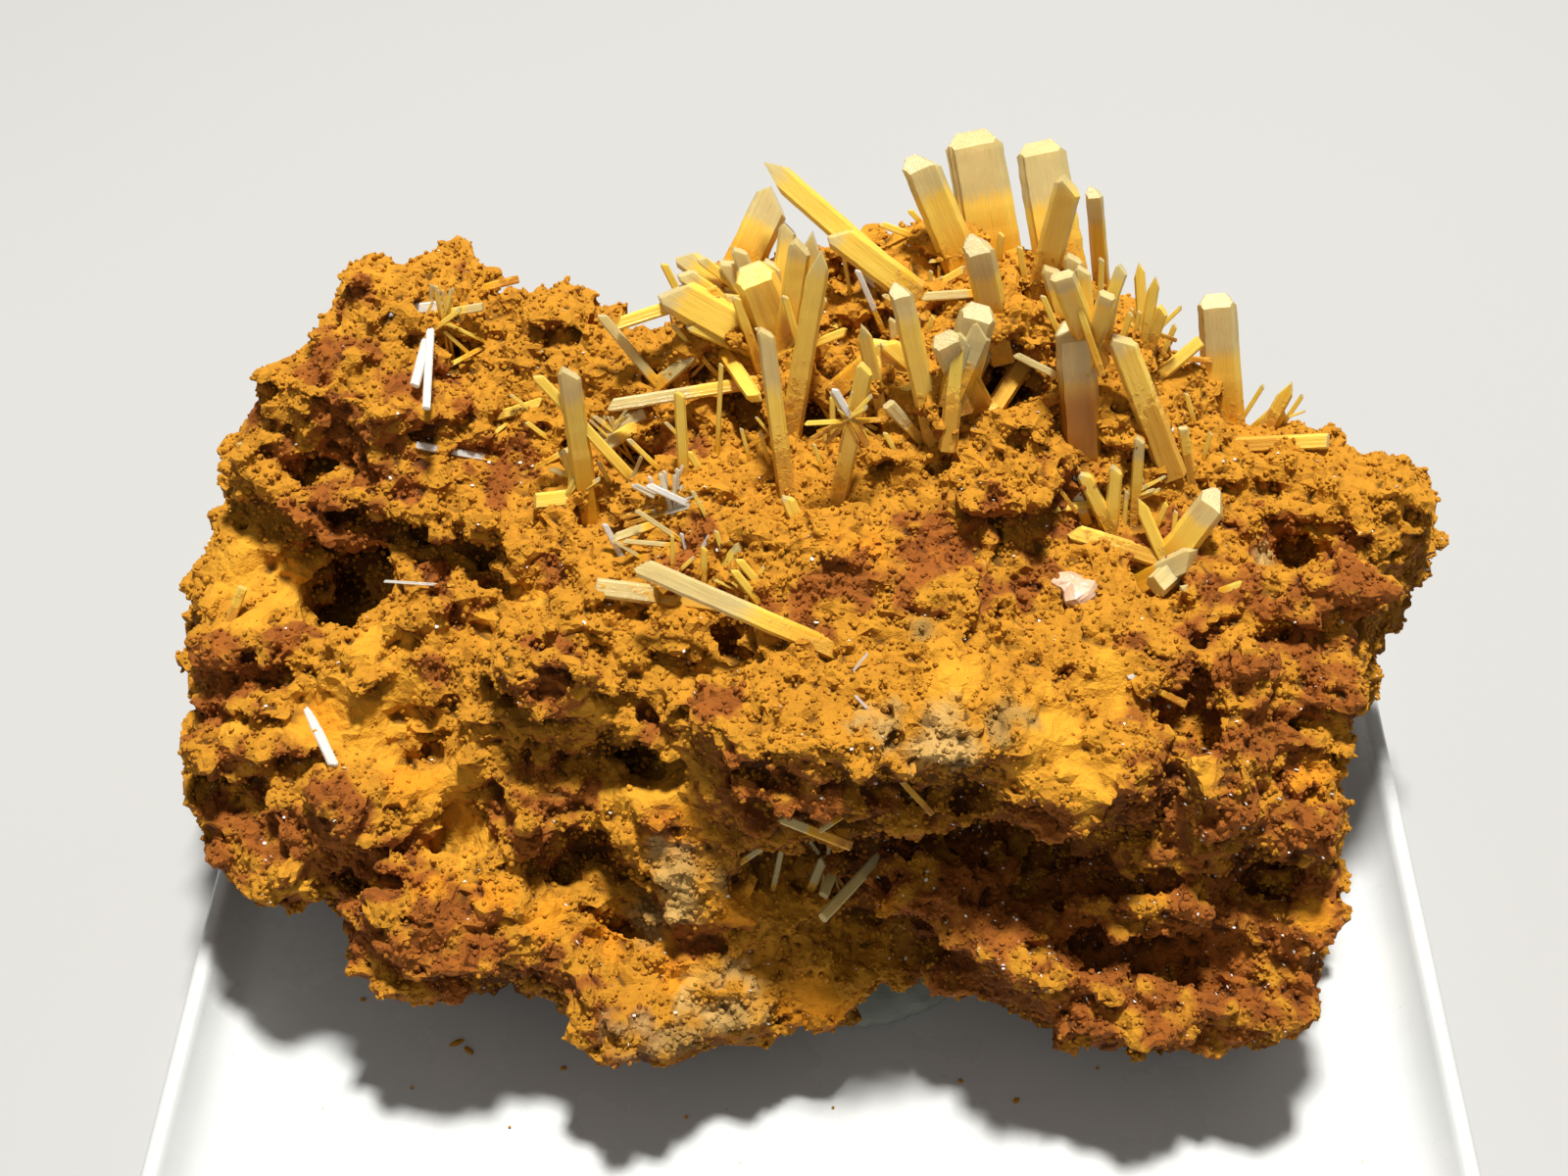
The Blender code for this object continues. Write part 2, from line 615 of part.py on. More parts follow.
def cut_tip(bm, point, normal):
    geom = [*bm.verts, *bm.edges, *bm.faces]
    bmesh.ops.bisect_plane(bm, geom=geom, plane_co=point, plane_no=normal, clear_outer=True)
    rim = [edge for edge in bm.edges if edge.is_boundary]
    if rim:
        bmesh.ops.edgeloop_fill(bm, edges=rim)


def crystal_root(row, tree, depth=None):
    """Where a crystal leaves the stone, or its place at the depth of its group."""
    px, py = row[1]
    if depth is None:
        return hit(tree, px, py)
    line = sight(px, py)
    return EYE + line * (depth / line.dot(AHEAD))


def prism(half, flatness, length):
    """Six-sided prism on its root, with its wide faces to the front and back."""
    bm = bmesh.new()
    turn = Matrix.Rotation(math.pi / CRYSTAL_SIDES, 4, "Z")
    bmesh.ops.create_cone(
        bm, cap_ends=True, segments=CRYSTAL_SIDES, radius1=1.0, radius2=1.0, depth=1.0, matrix=turn
    )
    for vert in bm.verts:
        if abs(vert.co.x) < EDGE_CORNER:
            vert.co.x = math.copysign(1.0 - SIDE_BEVEL, vert.co.x)
        vert.co.x *= half
        vert.co.y *= half * flatness
        vert.co.z = length if vert.co.z > 0.0 else -BURIED
    return bm


def shape_tip(bm, tip_kind, width, length):
    for start, below, tilt, tip_over in TIP_CUTS[tip_kind]:
        normal = Matrix.Rotation(math.radians(tilt), 3, "Y") @ Vector((0.0, 0.0, 1.0))
        normal = Matrix.Rotation(math.radians(tip_over), 3, "X") @ normal
        cut_tip(bm, Vector((start * width / 2.0, 0.0, length - below * width)), normal)


def seat(half, flatness, length):
    """Plain block that leaves the gap all round a prism of the same size."""
    size = Vector((half, half * flatness * math.cos(math.pi / CRYSTAL_SIDES), length))
    size = (size + Vector((GAP, GAP, GAP))) * 2.0
    size.z = length + BURIED + 2.0 * GAP
    middle = Vector((0.0, 0.0, (length - BURIED) / 2.0))
    bm = bmesh.new()
    place = Matrix.Translation(middle) @ Matrix.Diagonal((*size, 1.0))
    bmesh.ops.create_cube(bm, size=1.0, matrix=place)
    return bm


def crystal_body(row, root, as_seat):
    """One prism with its shaped tip, or the seat that it stands in."""
    tip_px, _, width_px, lean, flatness, tip_kind = row
    tip = crystal_tip(root, *tip_px, lean)
    width = width_px * PX_SIZE
    length = (tip - root).length
    if as_seat:
        bm = seat(width / 2.0, flatness, length)
    else:
        bm = prism(width / 2.0, flatness, length)
        shape_tip(bm, tip_kind, width, length)
    place = Matrix.Translation(root) @ crystal_axes(root, tip).to_4x4()
    bmesh.ops.transform(bm, matrix=place, verts=bm.verts)
    bmesh.ops.recalc_face_normals(bm, faces=bm.faces)
    return bm


def fused(name, rows, tree, as_seat, collection, material=None):
    """One object of all the rows, which share the depth of the first one's root."""
    root = crystal_root(rows[0], tree)
    depth = (root - EYE).dot(AHEAD)
    whole = add_object(name, crystal_body(rows[0], root, as_seat), collection, material)
    for row in rows[1:]:
        root = crystal_root(row, tree, depth)
        member = add_object("member", crystal_body(row, root, as_seat), collection)
        boolean(whole, "UNION", member)
        bpy.data.objects.remove(member, do_unlink=True)
    return whole


def build_crystals(tree, parts, sockets):
    look = principled("gypsum", HONEY, 0.4)
    groups = {name: [row] for name, *row in SINGLE_CRYSTALS}
    groups.update(CRYSTAL_GROUPS)
    for name, rows in groups.items():
        fused(name, rows, tree, False, parts, look)
        hide_cutter(fused(f"{name}_socket", rows, tree, True, sockets))


def crust_plates(name, tree, grow, collection, material=None):
    bm = bmesh.new()
    for px, py, across, back, tall, roll in PALE_CRUST:
        turn = Matrix.Rotation(math.radians(roll), 3, "Y")
        half = (across * MM + grow, back * MM + grow, tall * MM + grow)
        add_ellipsoid(bm, hit(tree, px, py), half, turn, detail=2)
    crust = add_object(name, bm, collection, material)
    voxel_skin(crust, CRUST_VOXEL)
    thin_out(crust, CRUST_TRIANGLES)
    return crust


def rounded_square(bm, side, corner, height):
    """Ring of points, a quarter circle at each corner."""
    ring = []
    for quarter in range(4):
        for step in range(CORNER_STEPS + 1):
            angle = math.radians(90.0 * (quarter + step / CORNER_STEPS))
            square = Vector((1.0, 1.0, 0.0))
            square.rotate(Matrix.Rotation(math.radians(90.0 * quarter), 3, "Z"))
            arc = Vector((math.cos(angle), math.sin(angle), 0.0)) * corner
            point = square * (side / 2.0 - corner) + arc
            ring.append(bm.verts.new((point.x, point.y, height)))
    return ring


def box_base(collection):
    bm = bmesh.new()
    inner_side = BOX_SIDE - 2.0 * LIP_WIDTH
    rings = [
        rounded_square(bm, BOX_SIDE, BOX_CORNER, 0.0),
        rounded_square(bm, BOX_SIDE, BOX_CORNER, BOX_HEIGHT),
        rounded_square(bm, inner_side, LIP_CORNER, BOX_HEIGHT),
        rounded_square(bm, inner_side - 2.0 * WALL_SLOPE, FLOOR_CORNER, FLOOR_HEIGHT),
    ]
    bm.faces.new(rings[0])
    bm.faces.new(rings[-1])
    for low, high in zip(rings, rings[1:]):
        for index, vert in enumerate(low):
            bm.faces.new((vert, low[index - 1], high[index - 1], high[index]))
    bmesh.ops.recalc_face_normals(bm, faces=bm.faces)
    base = add_object("box_base", bm, collection, principled("white_plastic", WHITE_PLASTIC))
    rounding = base.modifiers.new("lip rounding", "BEVEL")
    rounding.width = LIP_ROUNDING
    rounding.segments = 1
    rounding.limit_method = "ANGLE"
    return base


def putty(name, grow, collection, material=None):
    """The pressed lump. Grown, it is the dent that it leaves in the stone."""
    bm = bmesh.new()
    low = FLOOR_HEIGHT + GAP
    for x, y, across, back in PUTTY_LUMPS:
        half = (across * MM + grow, back * MM + grow, PUTTY_TOP - low + grow)
        add_ellipsoid(bm, Vector((x * MM, y * MM, low)), half, detail=4)
    lump = add_object(name, bm, collection, material)
    voxel_skin(lump, PUTTY_VOXEL)
    bm = bmesh.new()
    bm.from_mesh(lump.data)
    cut_tip(bm, Vector((0.0, 0.0, low - grow)), Vector((0.0, 0.0, -1.0)))
    bm.to_mesh(lump.data)
    bm.free()
    thin_out(lump, PUTTY_TRIANGLES)
    return lump


def hide_cutter(obj):
    obj.hide_render = True
    obj.display_type = "WIRE"


clear_scene()
parts_collection = new_collection("gypsum_specimen")
cutter_collection = new_collection("cutters")
socket_collection = new_collection("sockets")
box_base(parts_collection)
putty("mounting_putty", 0.0, parts_collection, principled("putty", GREY_PUTTY))
hide_cutter(putty("putty_dent", GAP, socket_collection))
stone_object = build_stone(parts_collection, cutter_collection)
seen_surface = stone_tree(stone_object)
build_crystals(seen_surface, parts_collection, socket_collection)
crust_look = principled("pale_gypsum", CLEAR_HONEY)
crust_plates("pale_crust", seen_surface, 0.0, parts_collection, crust_look)
hide_cutter(crust_plates("pale_crust_socket", seen_surface, GAP, socket_collection))
seat_in_stone(stone_object, socket_collection)
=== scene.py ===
import bisect
import math
import random
import time

import bmesh
import bpy
import numpy as np
from mathutils import Matrix, Vector, noise
from mathutils.bvhtree import BVHTree


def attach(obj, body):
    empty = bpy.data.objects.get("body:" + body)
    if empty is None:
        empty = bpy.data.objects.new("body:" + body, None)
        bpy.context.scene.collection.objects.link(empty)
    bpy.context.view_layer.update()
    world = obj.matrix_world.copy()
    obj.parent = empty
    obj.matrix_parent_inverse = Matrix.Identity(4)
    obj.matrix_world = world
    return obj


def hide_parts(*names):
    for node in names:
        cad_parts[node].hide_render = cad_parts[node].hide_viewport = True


startTime = time.time()


def stageDone(name, count=""):
    print(name, count, round(time.time() - startTime, 1))


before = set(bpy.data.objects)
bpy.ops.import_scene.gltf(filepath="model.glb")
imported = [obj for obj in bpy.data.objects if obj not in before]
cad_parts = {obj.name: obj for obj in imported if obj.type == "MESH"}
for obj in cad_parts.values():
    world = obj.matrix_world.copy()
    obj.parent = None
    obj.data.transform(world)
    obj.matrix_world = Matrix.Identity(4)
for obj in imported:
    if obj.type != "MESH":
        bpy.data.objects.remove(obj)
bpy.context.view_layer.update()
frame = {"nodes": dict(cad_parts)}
mm = 0.001
fullTurn = 6.28
mergeDistance = 1e-7

# The photo's camera. Picture points are those of a frame of 1600 by 1200
view = {
    "eye": Vector((0.0, -64.0, 90.8)) * mm,
    "turn": math.radians(1.43),
    "dip": math.radians(46.0),
    "focal": 2200.0,
    "middle": (800.0, 600.0),
    "pointsPerMm": 21.5,
    "lens": 49.5,
    "sensor": 36.0,
    "clip": (0.001, 10.0),
    "stoneMiddle": (820.0, 660.0),
    "searchSteps": 30,
    "searchMove": 3.0,
}
eye = view["eye"]
ahead = Vector((
    -math.sin(view["turn"]) * math.cos(view["dip"]),
    math.cos(view["turn"]) * math.cos(view["dip"]),
    -math.sin(view["dip"]),
))
right = Vector((math.cos(view["turn"]), math.sin(view["turn"]), 0.0))
up = right.cross(ahead)
pxSize = mm / view["pointsPerMm"]


def sight(px, py):
    across = (px - view["middle"][0]) / view["focal"]
    down = (py - view["middle"][1]) / view["focal"]
    return (ahead + right * across - up * down).normalized()


def hit(tree, px, py):  # stone under a picture point, or the next one inwards past its edge
    inwards = Vector((view["stoneMiddle"][0] - px, view["stoneMiddle"][1] - py)).normalized()
    for step in range(view["searchSteps"]):
        move = inwards * step * view["searchMove"]
        point = tree.ray_cast(eye, sight(px + move.x, py + move.y))[0]
        if point is not None:
            return point
    return None


def treeOf(mesh):
    bm = bmesh.new()
    bm.from_mesh(mesh)
    tree = BVHTree.FromBMesh(bm)
    bm.free()
    return tree


def mergedCopy(mesh):  # a node's loose triangles, joined
    bm = bmesh.new()
    bm.from_mesh(mesh)
    bmesh.ops.remove_doubles(bm, verts=bm.verts, dist=mergeDistance)
    return bm


def skinRings(bm, rings):  # closed skin over rings that have as many points each
    bm.faces.new(reversed(rings[0]))
    bm.faces.new(rings[-1])
    for low, high in zip(rings, rings[1:]):
        for index, vert in enumerate(low):
            bm.faces.new((low[index - 1], vert, high[index], high[index - 1]))


def linkObject(name, data):
    obj = bpy.data.objects.new(name, data)
    bpy.context.scene.collection.objects.link(obj)
    return obj


def addObject(name, bm, material, smooth=False):
    mesh = bpy.data.meshes.new(name)
    bm.to_mesh(mesh)
    bm.free()
    mesh.polygons.foreach_set("use_smooth", [smooth] * len(mesh.polygons))
    mesh.materials.append(material)
    return linkObject(name, mesh)


def bake(obj):  # keeps what the modifiers give
    bpy.context.view_layer.update()
    graph = bpy.context.evaluated_depsgraph_get()
    baked = bpy.data.meshes.new_from_object(obj.evaluated_get(graph))
    obj.modifiers.clear()
    old = obj.data
    obj.data = baked
    bpy.data.meshes.remove(old)


def voxelSkin(obj, size):
    skin = obj.modifiers.new("skin", "REMESH")
    skin.mode = "VOXEL"
    skin.voxel_size = size
    bake(obj)


def thinTo(obj, triangles):
    count = sum(len(face.vertices) - 2 for face in obj.data.polygons)
    if count <= triangles:
        return
    thin = obj.modifiers.new("thin", "DECIMATE")
    thin.ratio = triangles / count
    bake(obj)


def standFor(obj, slot, *nodes):
    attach(obj, "root")
    if nodes:
        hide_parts(*nodes)


def addLoose(name, mesh, material, slot):  # a piece that replaces no node
    mesh.materials.append(material)
    standFor(linkObject(name, mesh), slot)


def newMaterial(name):
    material = bpy.data.materials.new(name)
    material.use_nodes = True
    return material, material.node_tree, material.node_tree.nodes["Principled BSDF"]


def plug(tree, value, socket):  # links an output to a socket, or sets a plain value on it
    if isinstance(value, bpy.types.NodeSocket):
        tree.links.new(value, socket)
    else:
        socket.default_value = value


def setShader(tree, shader, values):
    for name, value in values.items():
        plug(tree, value, shader.inputs[name])


def mix(tree, share, low, high):  # colour between two colours or outputs
    node = tree.nodes.new("ShaderNodeMix")
    node.data_type = "RGBA"
    plug(tree, share, node.inputs[0])
    for index, colour in ((6, low), (7, high)):
        plug(tree, (*colour, 1.0) if isinstance(colour, tuple) else colour, node.inputs[index])
    return node.outputs[2]


def spread(tree, value, low, high, outLow=0.0, outHigh=1.0):
    node = tree.nodes.new("ShaderNodeMapRange")
    node.interpolation_type = "SMOOTHSTEP"
    tree.links.new(value, node.inputs[0])
    for index, number in zip((1, 2, 3, 4), (low, high, outLow, outHigh)):
        node.inputs[index].default_value = number
    return node.outputs[0]


def noiseOf(tree, where, scale, detail=3.0, rough=0.6):
    node = tree.nodes.new("ShaderNodeTexNoise")
    tree.links.new(where, node.inputs["Vector"])
    node.inputs["Scale"].default_value = scale
    node.inputs["Detail"].default_value = detail
    node.inputs["Roughness"].default_value = rough
    return node.outputs["Fac"]


def placeOf(tree):
    return tree.nodes.new("ShaderNodeTexCoord").outputs["Object"]


def attributeOf(tree, name, output="Fac"):
    node = tree.nodes.new("ShaderNodeAttribute")
    node.attribute_name = name
    return node.outputs[output]


def math2(tree, kind, a, b):
    node = tree.nodes.new("ShaderNodeMath")
    node.operation = kind
    plug(tree, a, node.inputs[0])
    plug(tree, b, node.inputs[1])
    return node.outputs[0]


def plus(tree, a, b):
    return math2(tree, "ADD", a, b)


def minus(tree, a, b):
    return math2(tree, "SUBTRACT", a, b)


def times(tree, a, b):
    return math2(tree, "MULTIPLY", a, b)


def bump(tree, shader, height, strength, distance):
    node = tree.nodes.new("ShaderNodeBump")
    for name, value in (("Height", height), ("Strength", strength), ("Distance", distance)):
        plug(tree, value, node.inputs[name])
    plug(tree, node.outputs[0], shader.inputs["Normal"])


def mottledMaterial(name, settings):  # two colours mixed by noise, with the same noise as relief
    material, tree, shader = newMaterial(name)
    mottle = noiseOf(tree, placeOf(tree), *settings["mottle"])
    colour = mix(tree, mottle, *settings["colours"])
    setShader(tree, shader, {"Base Color": colour, "Roughness": settings["roughness"]})
    if "relief" in settings:
        bump(tree, shader, mottle, *settings["relief"])
    return material


def placesOf(mesh):
    places = np.empty(len(mesh.vertices) * 3)
    mesh.vertices.foreach_get("co", places)
    return places.reshape(-1, 3)


def setPlaces(mesh, places):
    mesh.vertices.foreach_set("co", places.ravel())
    mesh.update()


def normalsOf(mesh):
    normals = np.empty(len(mesh.vertices) * 3)
    mesh.vertex_normals.foreach_get("vector", normals)
    return normals.reshape(-1, 3)


def drawSize(chance, settings):  # more small ones than large ones
    low, high = settings["size"]
    return (low + (high - low) * chance.random() ** settings["fewLarge"]) * mm


# Stone
stoneSettings = {
    "bodyVoxel": 0.3 * mm,
    "clodVoxel": 0.2 * mm,
    "triangles": 190000,
    "bedDip": math.radians(12.0),
    "seatReach": 1.1 * mm,
    "plugSpacing": 0.38 * mm,
    "plugRadius": 0.5 * mm,
    "plugDepth": 0.3 * mm,
    "lift": 1e-6,
}

# Patches of the stone: picture point of the middle and reach in picture points
patches = {
    "powder": [
        (243, 581, 40), (296, 606, 42), (384, 664, 34), (335, 735, 46), (372, 745, 44),
        (446, 800, 42), (462, 855, 46), (690, 797, 50), (640, 804, 34), (540, 612, 20),
        (250, 632, 26), (560, 930, 22), (700, 1000, 20),
        (1075, 745, 50), (1120, 800, 30), (760, 920, 26), (840, 1010, 26), (1212, 792, 28),
        (1340, 935, 22), (980, 690, 40), (1125, 700, 34), (1180, 880, 24), (300, 900, 26),
        (235, 740, 22), (420, 700, 22), (1340, 880, 20), (500, 640, 18), (600, 720, 22),
    ],
    "rust": [
        (230, 665, 44), (292, 655, 34), (230, 762, 42), (300, 770, 30), (345, 820, 44),
        (385, 860, 36), (540, 845, 40), (435, 690, 26), (735, 718, 34), (664, 745, 26),
        (680, 832, 44), (418, 495, 30), (345, 428, 26), (300, 470, 26), (770, 800, 40),
        (830, 820, 44), (900, 815, 36), (1070, 842, 44), (1150, 812, 34), (1185, 770, 26),
        (1240, 760, 44), (1250, 840, 50), (1320, 840, 44), (1050, 930, 60), (1150, 950, 70),
        (1250, 960, 70), (1320, 1000, 50), (1100, 1030, 50), (1200, 1040, 50), (960, 920, 44),
        (400, 960, 50), (460, 985, 40), (380, 940, 34), (870, 590, 36), (920, 600, 26),
        (1010, 520, 26), (1160, 650, 26), (1100, 690, 22), (1260, 690, 34), (1350, 690, 34),
        (255, 420, 22), (375, 290, 22), (470, 275, 16), (1290, 620, 22), (1380, 560, 26),
        (1000, 930, 110), (1120, 965, 120), (1240, 955, 120), (1320, 960, 80), (1200, 820, 90),
        (1285, 765, 70), (900, 880, 60), (800, 820, 50), (1050, 1030, 80), (1330, 850, 60),
        (230, 700, 60), (300, 860, 70), (400, 880, 60), (370, 470, 60), (560, 830, 60),
        (450, 955, 56), (560, 995, 44), (360, 930, 44), (640, 1040, 40), (700, 960, 34),
        (1150, 725, 40), (1250, 680, 60), (1335, 680, 60), (1390, 600, 50), (1290, 540, 44),
        (1215, 700, 56), (1300, 745, 56), (1365, 620, 44), (1255, 605, 40), (1180, 560, 40),
        (1080, 500, 40), (960, 570, 60), (820, 620, 40), (700, 560, 36), (520, 480, 50),
        (430, 400, 50), (340, 350, 44), (330, 520, 60), (450, 600, 44), (560, 700, 44),
        (700, 460, 40), (1040, 600, 40), (1130, 250, 22), (560, 590, 22), (610, 870, 26),
        (230, 860, 34), (220, 820, 30),
    ],
    "orange": [
        (440, 905, 28), (500, 915, 26), (560, 935, 28), (620, 955, 28), (680, 985, 26),
        (690, 850, 40), (240, 505, 20), (830, 1030, 40), (1340, 935, 30), (760, 930, 30),
        (1250, 890, 26), (1180, 900, 26), (1000, 890, 24), (620, 860, 30), (900, 925, 26),
        (1240, 745, 30), (1330, 800, 30), (420, 800, 30), (330, 735, 26), (880, 560, 30),
    ],
    "tan": [
        (960, 755, 40), (1020, 740, 34), (900, 742, 26), (690, 900, 44), (665, 935, 30),
        (740, 1030, 44), (690, 1060, 34), (640, 1050, 26), (1290, 570, 16), (940, 640, 14),
    ],
}

# Hollows: picture point, half sizes in picture points, roll in degrees and depth in millimetres
hollows = [
    (350, 620, 26, 34, 12, 2.2), (395, 546, 62, 22, 8, 2.8), (460, 560, 62, 16, 8, 2.2),
    (334, 476, 38, 14, -15, 1.8), (350, 426, 24, 8, -30, 1.3), (451, 444, 26, 9, -5, 1.8),
    (422, 612, 28, 10, 0, 1.3), (463, 730, 12, 16, 0, 1.5), (506, 736, 24, 9, 10, 1.3),
    (655, 780, 37, 17, 3, 2.4), (594, 670, 22, 10, 10, 1.5), (700, 683, 32, 13, 25, 1.7),
    (305, 778, 24, 12, 0, 1.6), (222, 808, 24, 12, 20, 1.4), (606, 872, 36, 15, -12, 2.0),
    (508, 806, 10, 12, 0, 1.2), (600, 654, 20, 9, 15, 1.2), (640, 620, 26, 8, 18, 1.2),
    (375, 690, 18, 9, 0, 1.0), (820, 832, 70, 15, 8, 1.6), (1010, 866, 84, 24, 6, 1.8),
    (1110, 905, 30, 12, -10, 1.3), (1324, 560, 26, 17, 0, 1.6), (1026, 392, 48, 20, -20, 3.0),
    (835, 428, 14, 22, 0, 1.6), (757, 416, 23, 10, 0, 1.4), (655, 462, 22, 13, 0, 1.3),
    (627, 525, 11, 9, 0, 1.1), (740, 660, 20, 16, 0, 1.6), (1202, 622, 11, 10, 0, 1.0),
    (466, 364, 20, 20, 0, 1.8), (905, 335, 26, 12, -10, 1.5), (1230, 690, 13, 36, -14, 1.5),
    (1300, 650, 20, 10, -20, 1.3), (1372, 642, 20, 24, -20, 1.6), (940, 970, 50, 14, 10, 1.6),
    (1080, 965, 40, 9, -6, 1.2), (1200, 985, 44, 9, -8, 1.2), (1290, 912, 20, 14, -14, 1.3),
    (540, 640, 26, 7, 16, 1.0), (560, 770, 26, 8, 6, 1.1), (440, 770, 14, 9, 0, 1.0),
    (620, 945, 46, 9, 26, 1.4), (330, 940, 20, 8, 0, 1.0), (565, 350, 18, 10, 0, 1.2),
    (520, 320, 16, 9, 0, 1.1), (420, 350, 12, 10, 0, 1.1), (300, 430, 14, 8, 0, 1.0),
    (965, 640, 14, 6, 0, 0.9), (1085, 610, 16, 7, 0, 0.9), (880, 655, 18, 6, 10, 0.9),
    (1240, 560, 16, 9, 0, 1.1), (1290, 500, 16, 8, 10, 1.1), (1400, 560, 14, 9, -10, 1.0),
    (780, 520, 16, 8, 0, 1.1), (910, 500, 16, 8, 0, 1.1), (1060, 560, 14, 7, 0, 0.9),
    (790, 792, 50, 14, 6, 1.8), (880, 798, 60, 17, 2, 2.1), (975, 806, 44, 18, 0, 2.1),
    (1060, 872, 46, 13, -4, 1.8), (1132, 862, 40, 13, -14, 1.8), (1190, 806, 13, 34, 20, 1.6),
    (262, 693, 56, 8, -4, 1.5), (252, 731, 38, 6, 2, 1.2), (262, 790, 52, 11, 5, 1.6),
    (484, 594, 62, 8, 14, 1.6), (432, 655, 40, 8, 4, 1.3), (522, 655, 50, 8, 17, 1.5),
    (606, 694, 50, 8, 14, 1.5), (664, 718, 40, 8, 15, 1.5), (532, 705, 44, 8, 6, 1.4),
    (422, 732, 30, 8, 0, 1.3), (545, 768, 52, 8, 8, 1.4), (1040, 908, 50, 9, -6, 1.6),
    (1155, 906, 50, 9, -4, 1.5), (1262, 880, 34, 9, 6, 1.4), (1316, 872, 30, 9, 10, 1.4),
    (1120, 1012, 70, 9, -3, 1.4), (1250, 1010, 50, 9, 0, 1.4), (380, 902, 36, 9, 12, 1.5),
    (450, 870, 12, 24, 0, 1.1), (560, 890, 36, 8, 20, 1.3), (860, 900, 40, 14, 10, 1.5),
    (1232, 642, 16, 10, 0, 1.2), (1276, 702, 14, 15, 0, 1.3), (1320, 736, 22, 9, 10, 1.3),
    (1180, 666, 18, 8, 0, 1.1), (1350, 656, 12, 13, 0, 1.2), (1252, 792, 11, 19, 0, 1.3),
    (1304, 802, 18, 9, 10, 1.2), (1120, 655, 16, 7, 0, 1.0), (1420, 530, 14, 8, 0, 1.0),
    (726, 316, 30, 20, 0, 1.9), (965, 396, 15, 28, 0, 1.7), (1092, 430, 16, 20, 0, 1.2),
    (862, 284, 28, 18, 10, 1.7), (856, 366, 20, 32, 0, 1.7), (700, 384, 46, 12, 0, 1.5),
    (765, 430, 16, 28, 0, 1.6), (666, 338, 18, 9, 0, 1.2), (1055, 452, 24, 9, 0, 1.0),
    (626, 528, 20, 11, 0, 1.2), (956, 268, 12, 10, 0, 1.0), (700, 610, 20, 6, 16, 1.0),
    (830, 690, 20, 6, 6, 0.8), (1150, 590, 12, 8, 0, 0.9),
]

# Rows of knobs that stand off the stone: size in millimetres and the picture points they follow
ridges = [
    (0.75, (287, 520), (345, 510), (407, 522), (470, 528), (513, 540)),
    (0.6, (438, 552), (478, 546), (521, 560)),
    (0.7, (508, 578), (548, 562), (590, 576), (606, 612)),
    (0.55, (396, 606), (400, 640), (392, 655)),
    (0.6, (440, 622), (484, 604), (530, 624), (570, 648)),
    (0.65, (488, 676), (520, 662), (566, 676), (604, 694)),
    (0.6, (604, 640), (650, 652), (700, 668)),
    (0.6, (600, 700), (650, 704), (704, 722)),
    (0.6, (470, 742), (500, 726), (545, 736), (590, 752)),
    (0.6, (352, 556), (340, 590), (336, 622)),
    (0.7, (198, 672), (240, 664), (286, 652), (322, 636)),
    (0.7, (202, 716), (250, 722), (300, 740)),
    (0.7, (206, 780), (244, 800), (284, 812)),
    (1.0, (312, 796), (342, 826), (374, 856), (404, 884)),
    (0.9, (518, 812), (540, 842), (566, 876)),
    (0.7, (350, 672), (380, 650), (392, 690), (366, 706)),
    (0.6, (715, 692), (734, 748), (800, 764), (860, 760), (900, 760)),
    (0.55, (905, 766), (953, 770), (1002, 770), (1029, 754), (1052, 716), (1058, 688)),
    (0.8, (1024, 806), (1062, 844), (1111, 836), (1168, 784), (1188, 748)),
    (0.9, (1105, 884), (1150, 868), (1200, 880), (1252, 876)),
    (0.9, (888, 892), (930, 878), (976, 892)),
    (0.9, (1000, 972), (1060, 994), (1130, 1010), (1200, 1020), (1270, 1030)),
    (0.9, (1080, 920), (1140, 930), (1210, 925), (1270, 940)),
    (0.9, (1288, 812), (1326, 826), (1362, 850)),
    (0.8, (1270, 960), (1320, 970), (1345, 950)),
    (0.9, (355, 922), (390, 956), (440, 982), (500, 984)),
    (0.5, (415, 890), (470, 902), (523, 912), (606, 944), (689, 988)),
    (0.7, (640, 872), (664, 900), (650, 930), (692, 936)),
    (0.7, (596, 1010), (636, 1048), (684, 1078)),
    (0.7, (700, 1004), (750, 1012), (796, 1000)),
    (0.8, (745, 800), (790, 818), (850, 826), (900, 832)),
    (0.6, (1195, 720), (1215, 770), (1240, 820), (1262, 870)),
    (0.6, (1216, 650), (1260, 612), (1310, 590), (1360, 600)),
    (0.6, (1262, 540), (1300, 520), (1350, 524), (1400, 540)),
    (0.6, (1340, 700), (1384, 706)),
    (0.6, (1345, 760), (1376, 772)),
    (0.7, (300, 400), (350, 408), (400, 420), (460, 428)),
    (0.7, (250, 460), (290, 452), (350, 462), (400, 478), (440, 500)),
    (0.7, (540, 320), (580, 330), (612, 344)),
]

# How fast each kind of patch fills from its edge, and how ragged the edge is
patchEdges = {"powder": (1.9, 1.3), "rust": (1.4, 1.5), "orange": (1.6, 1.3), "tan": (1.6, 1.6)}
patchSettings = {"widened": 1.15, "edgeSize": 1.1 * mm}
backSettings = {
    "start": 0.012,
    "fade": 0.006,
    "broad": 4.0 * mm,
    "fine": 1.3 * mm,
    "fineShare": 0.7,
    "least": 0.2,
    "gain": 2.5,
}
placed = {}


def bedded(point, squash):
    turned = Matrix.Rotation(-stoneSettings["bedDip"], 3, "Y") @ point
    return Vector((turned.x, turned.y, turned.z * squash))


def seenPoints(points):  # picture points and distances of an array of places
    away = points - np.array(eye)
    depth = away @ np.array(ahead)
    px = view["middle"][0] + view["focal"] * (away @ np.array(right)) / depth
    return px, view["middle"][1] - view["focal"] * (away @ np.array(up)) / depth, depth


def placePatches():  # puts the patches on the stone, each as its middle and reach in the model
    wide = patchSettings["widened"]
    for name, rows in patches.items():
        spots = [(hit(stoneTree, px, py), reach * wide * pxSize) for px, py, reach in rows]
        placed[name] = [(np.array(spot), reach) for spot, reach in spots]


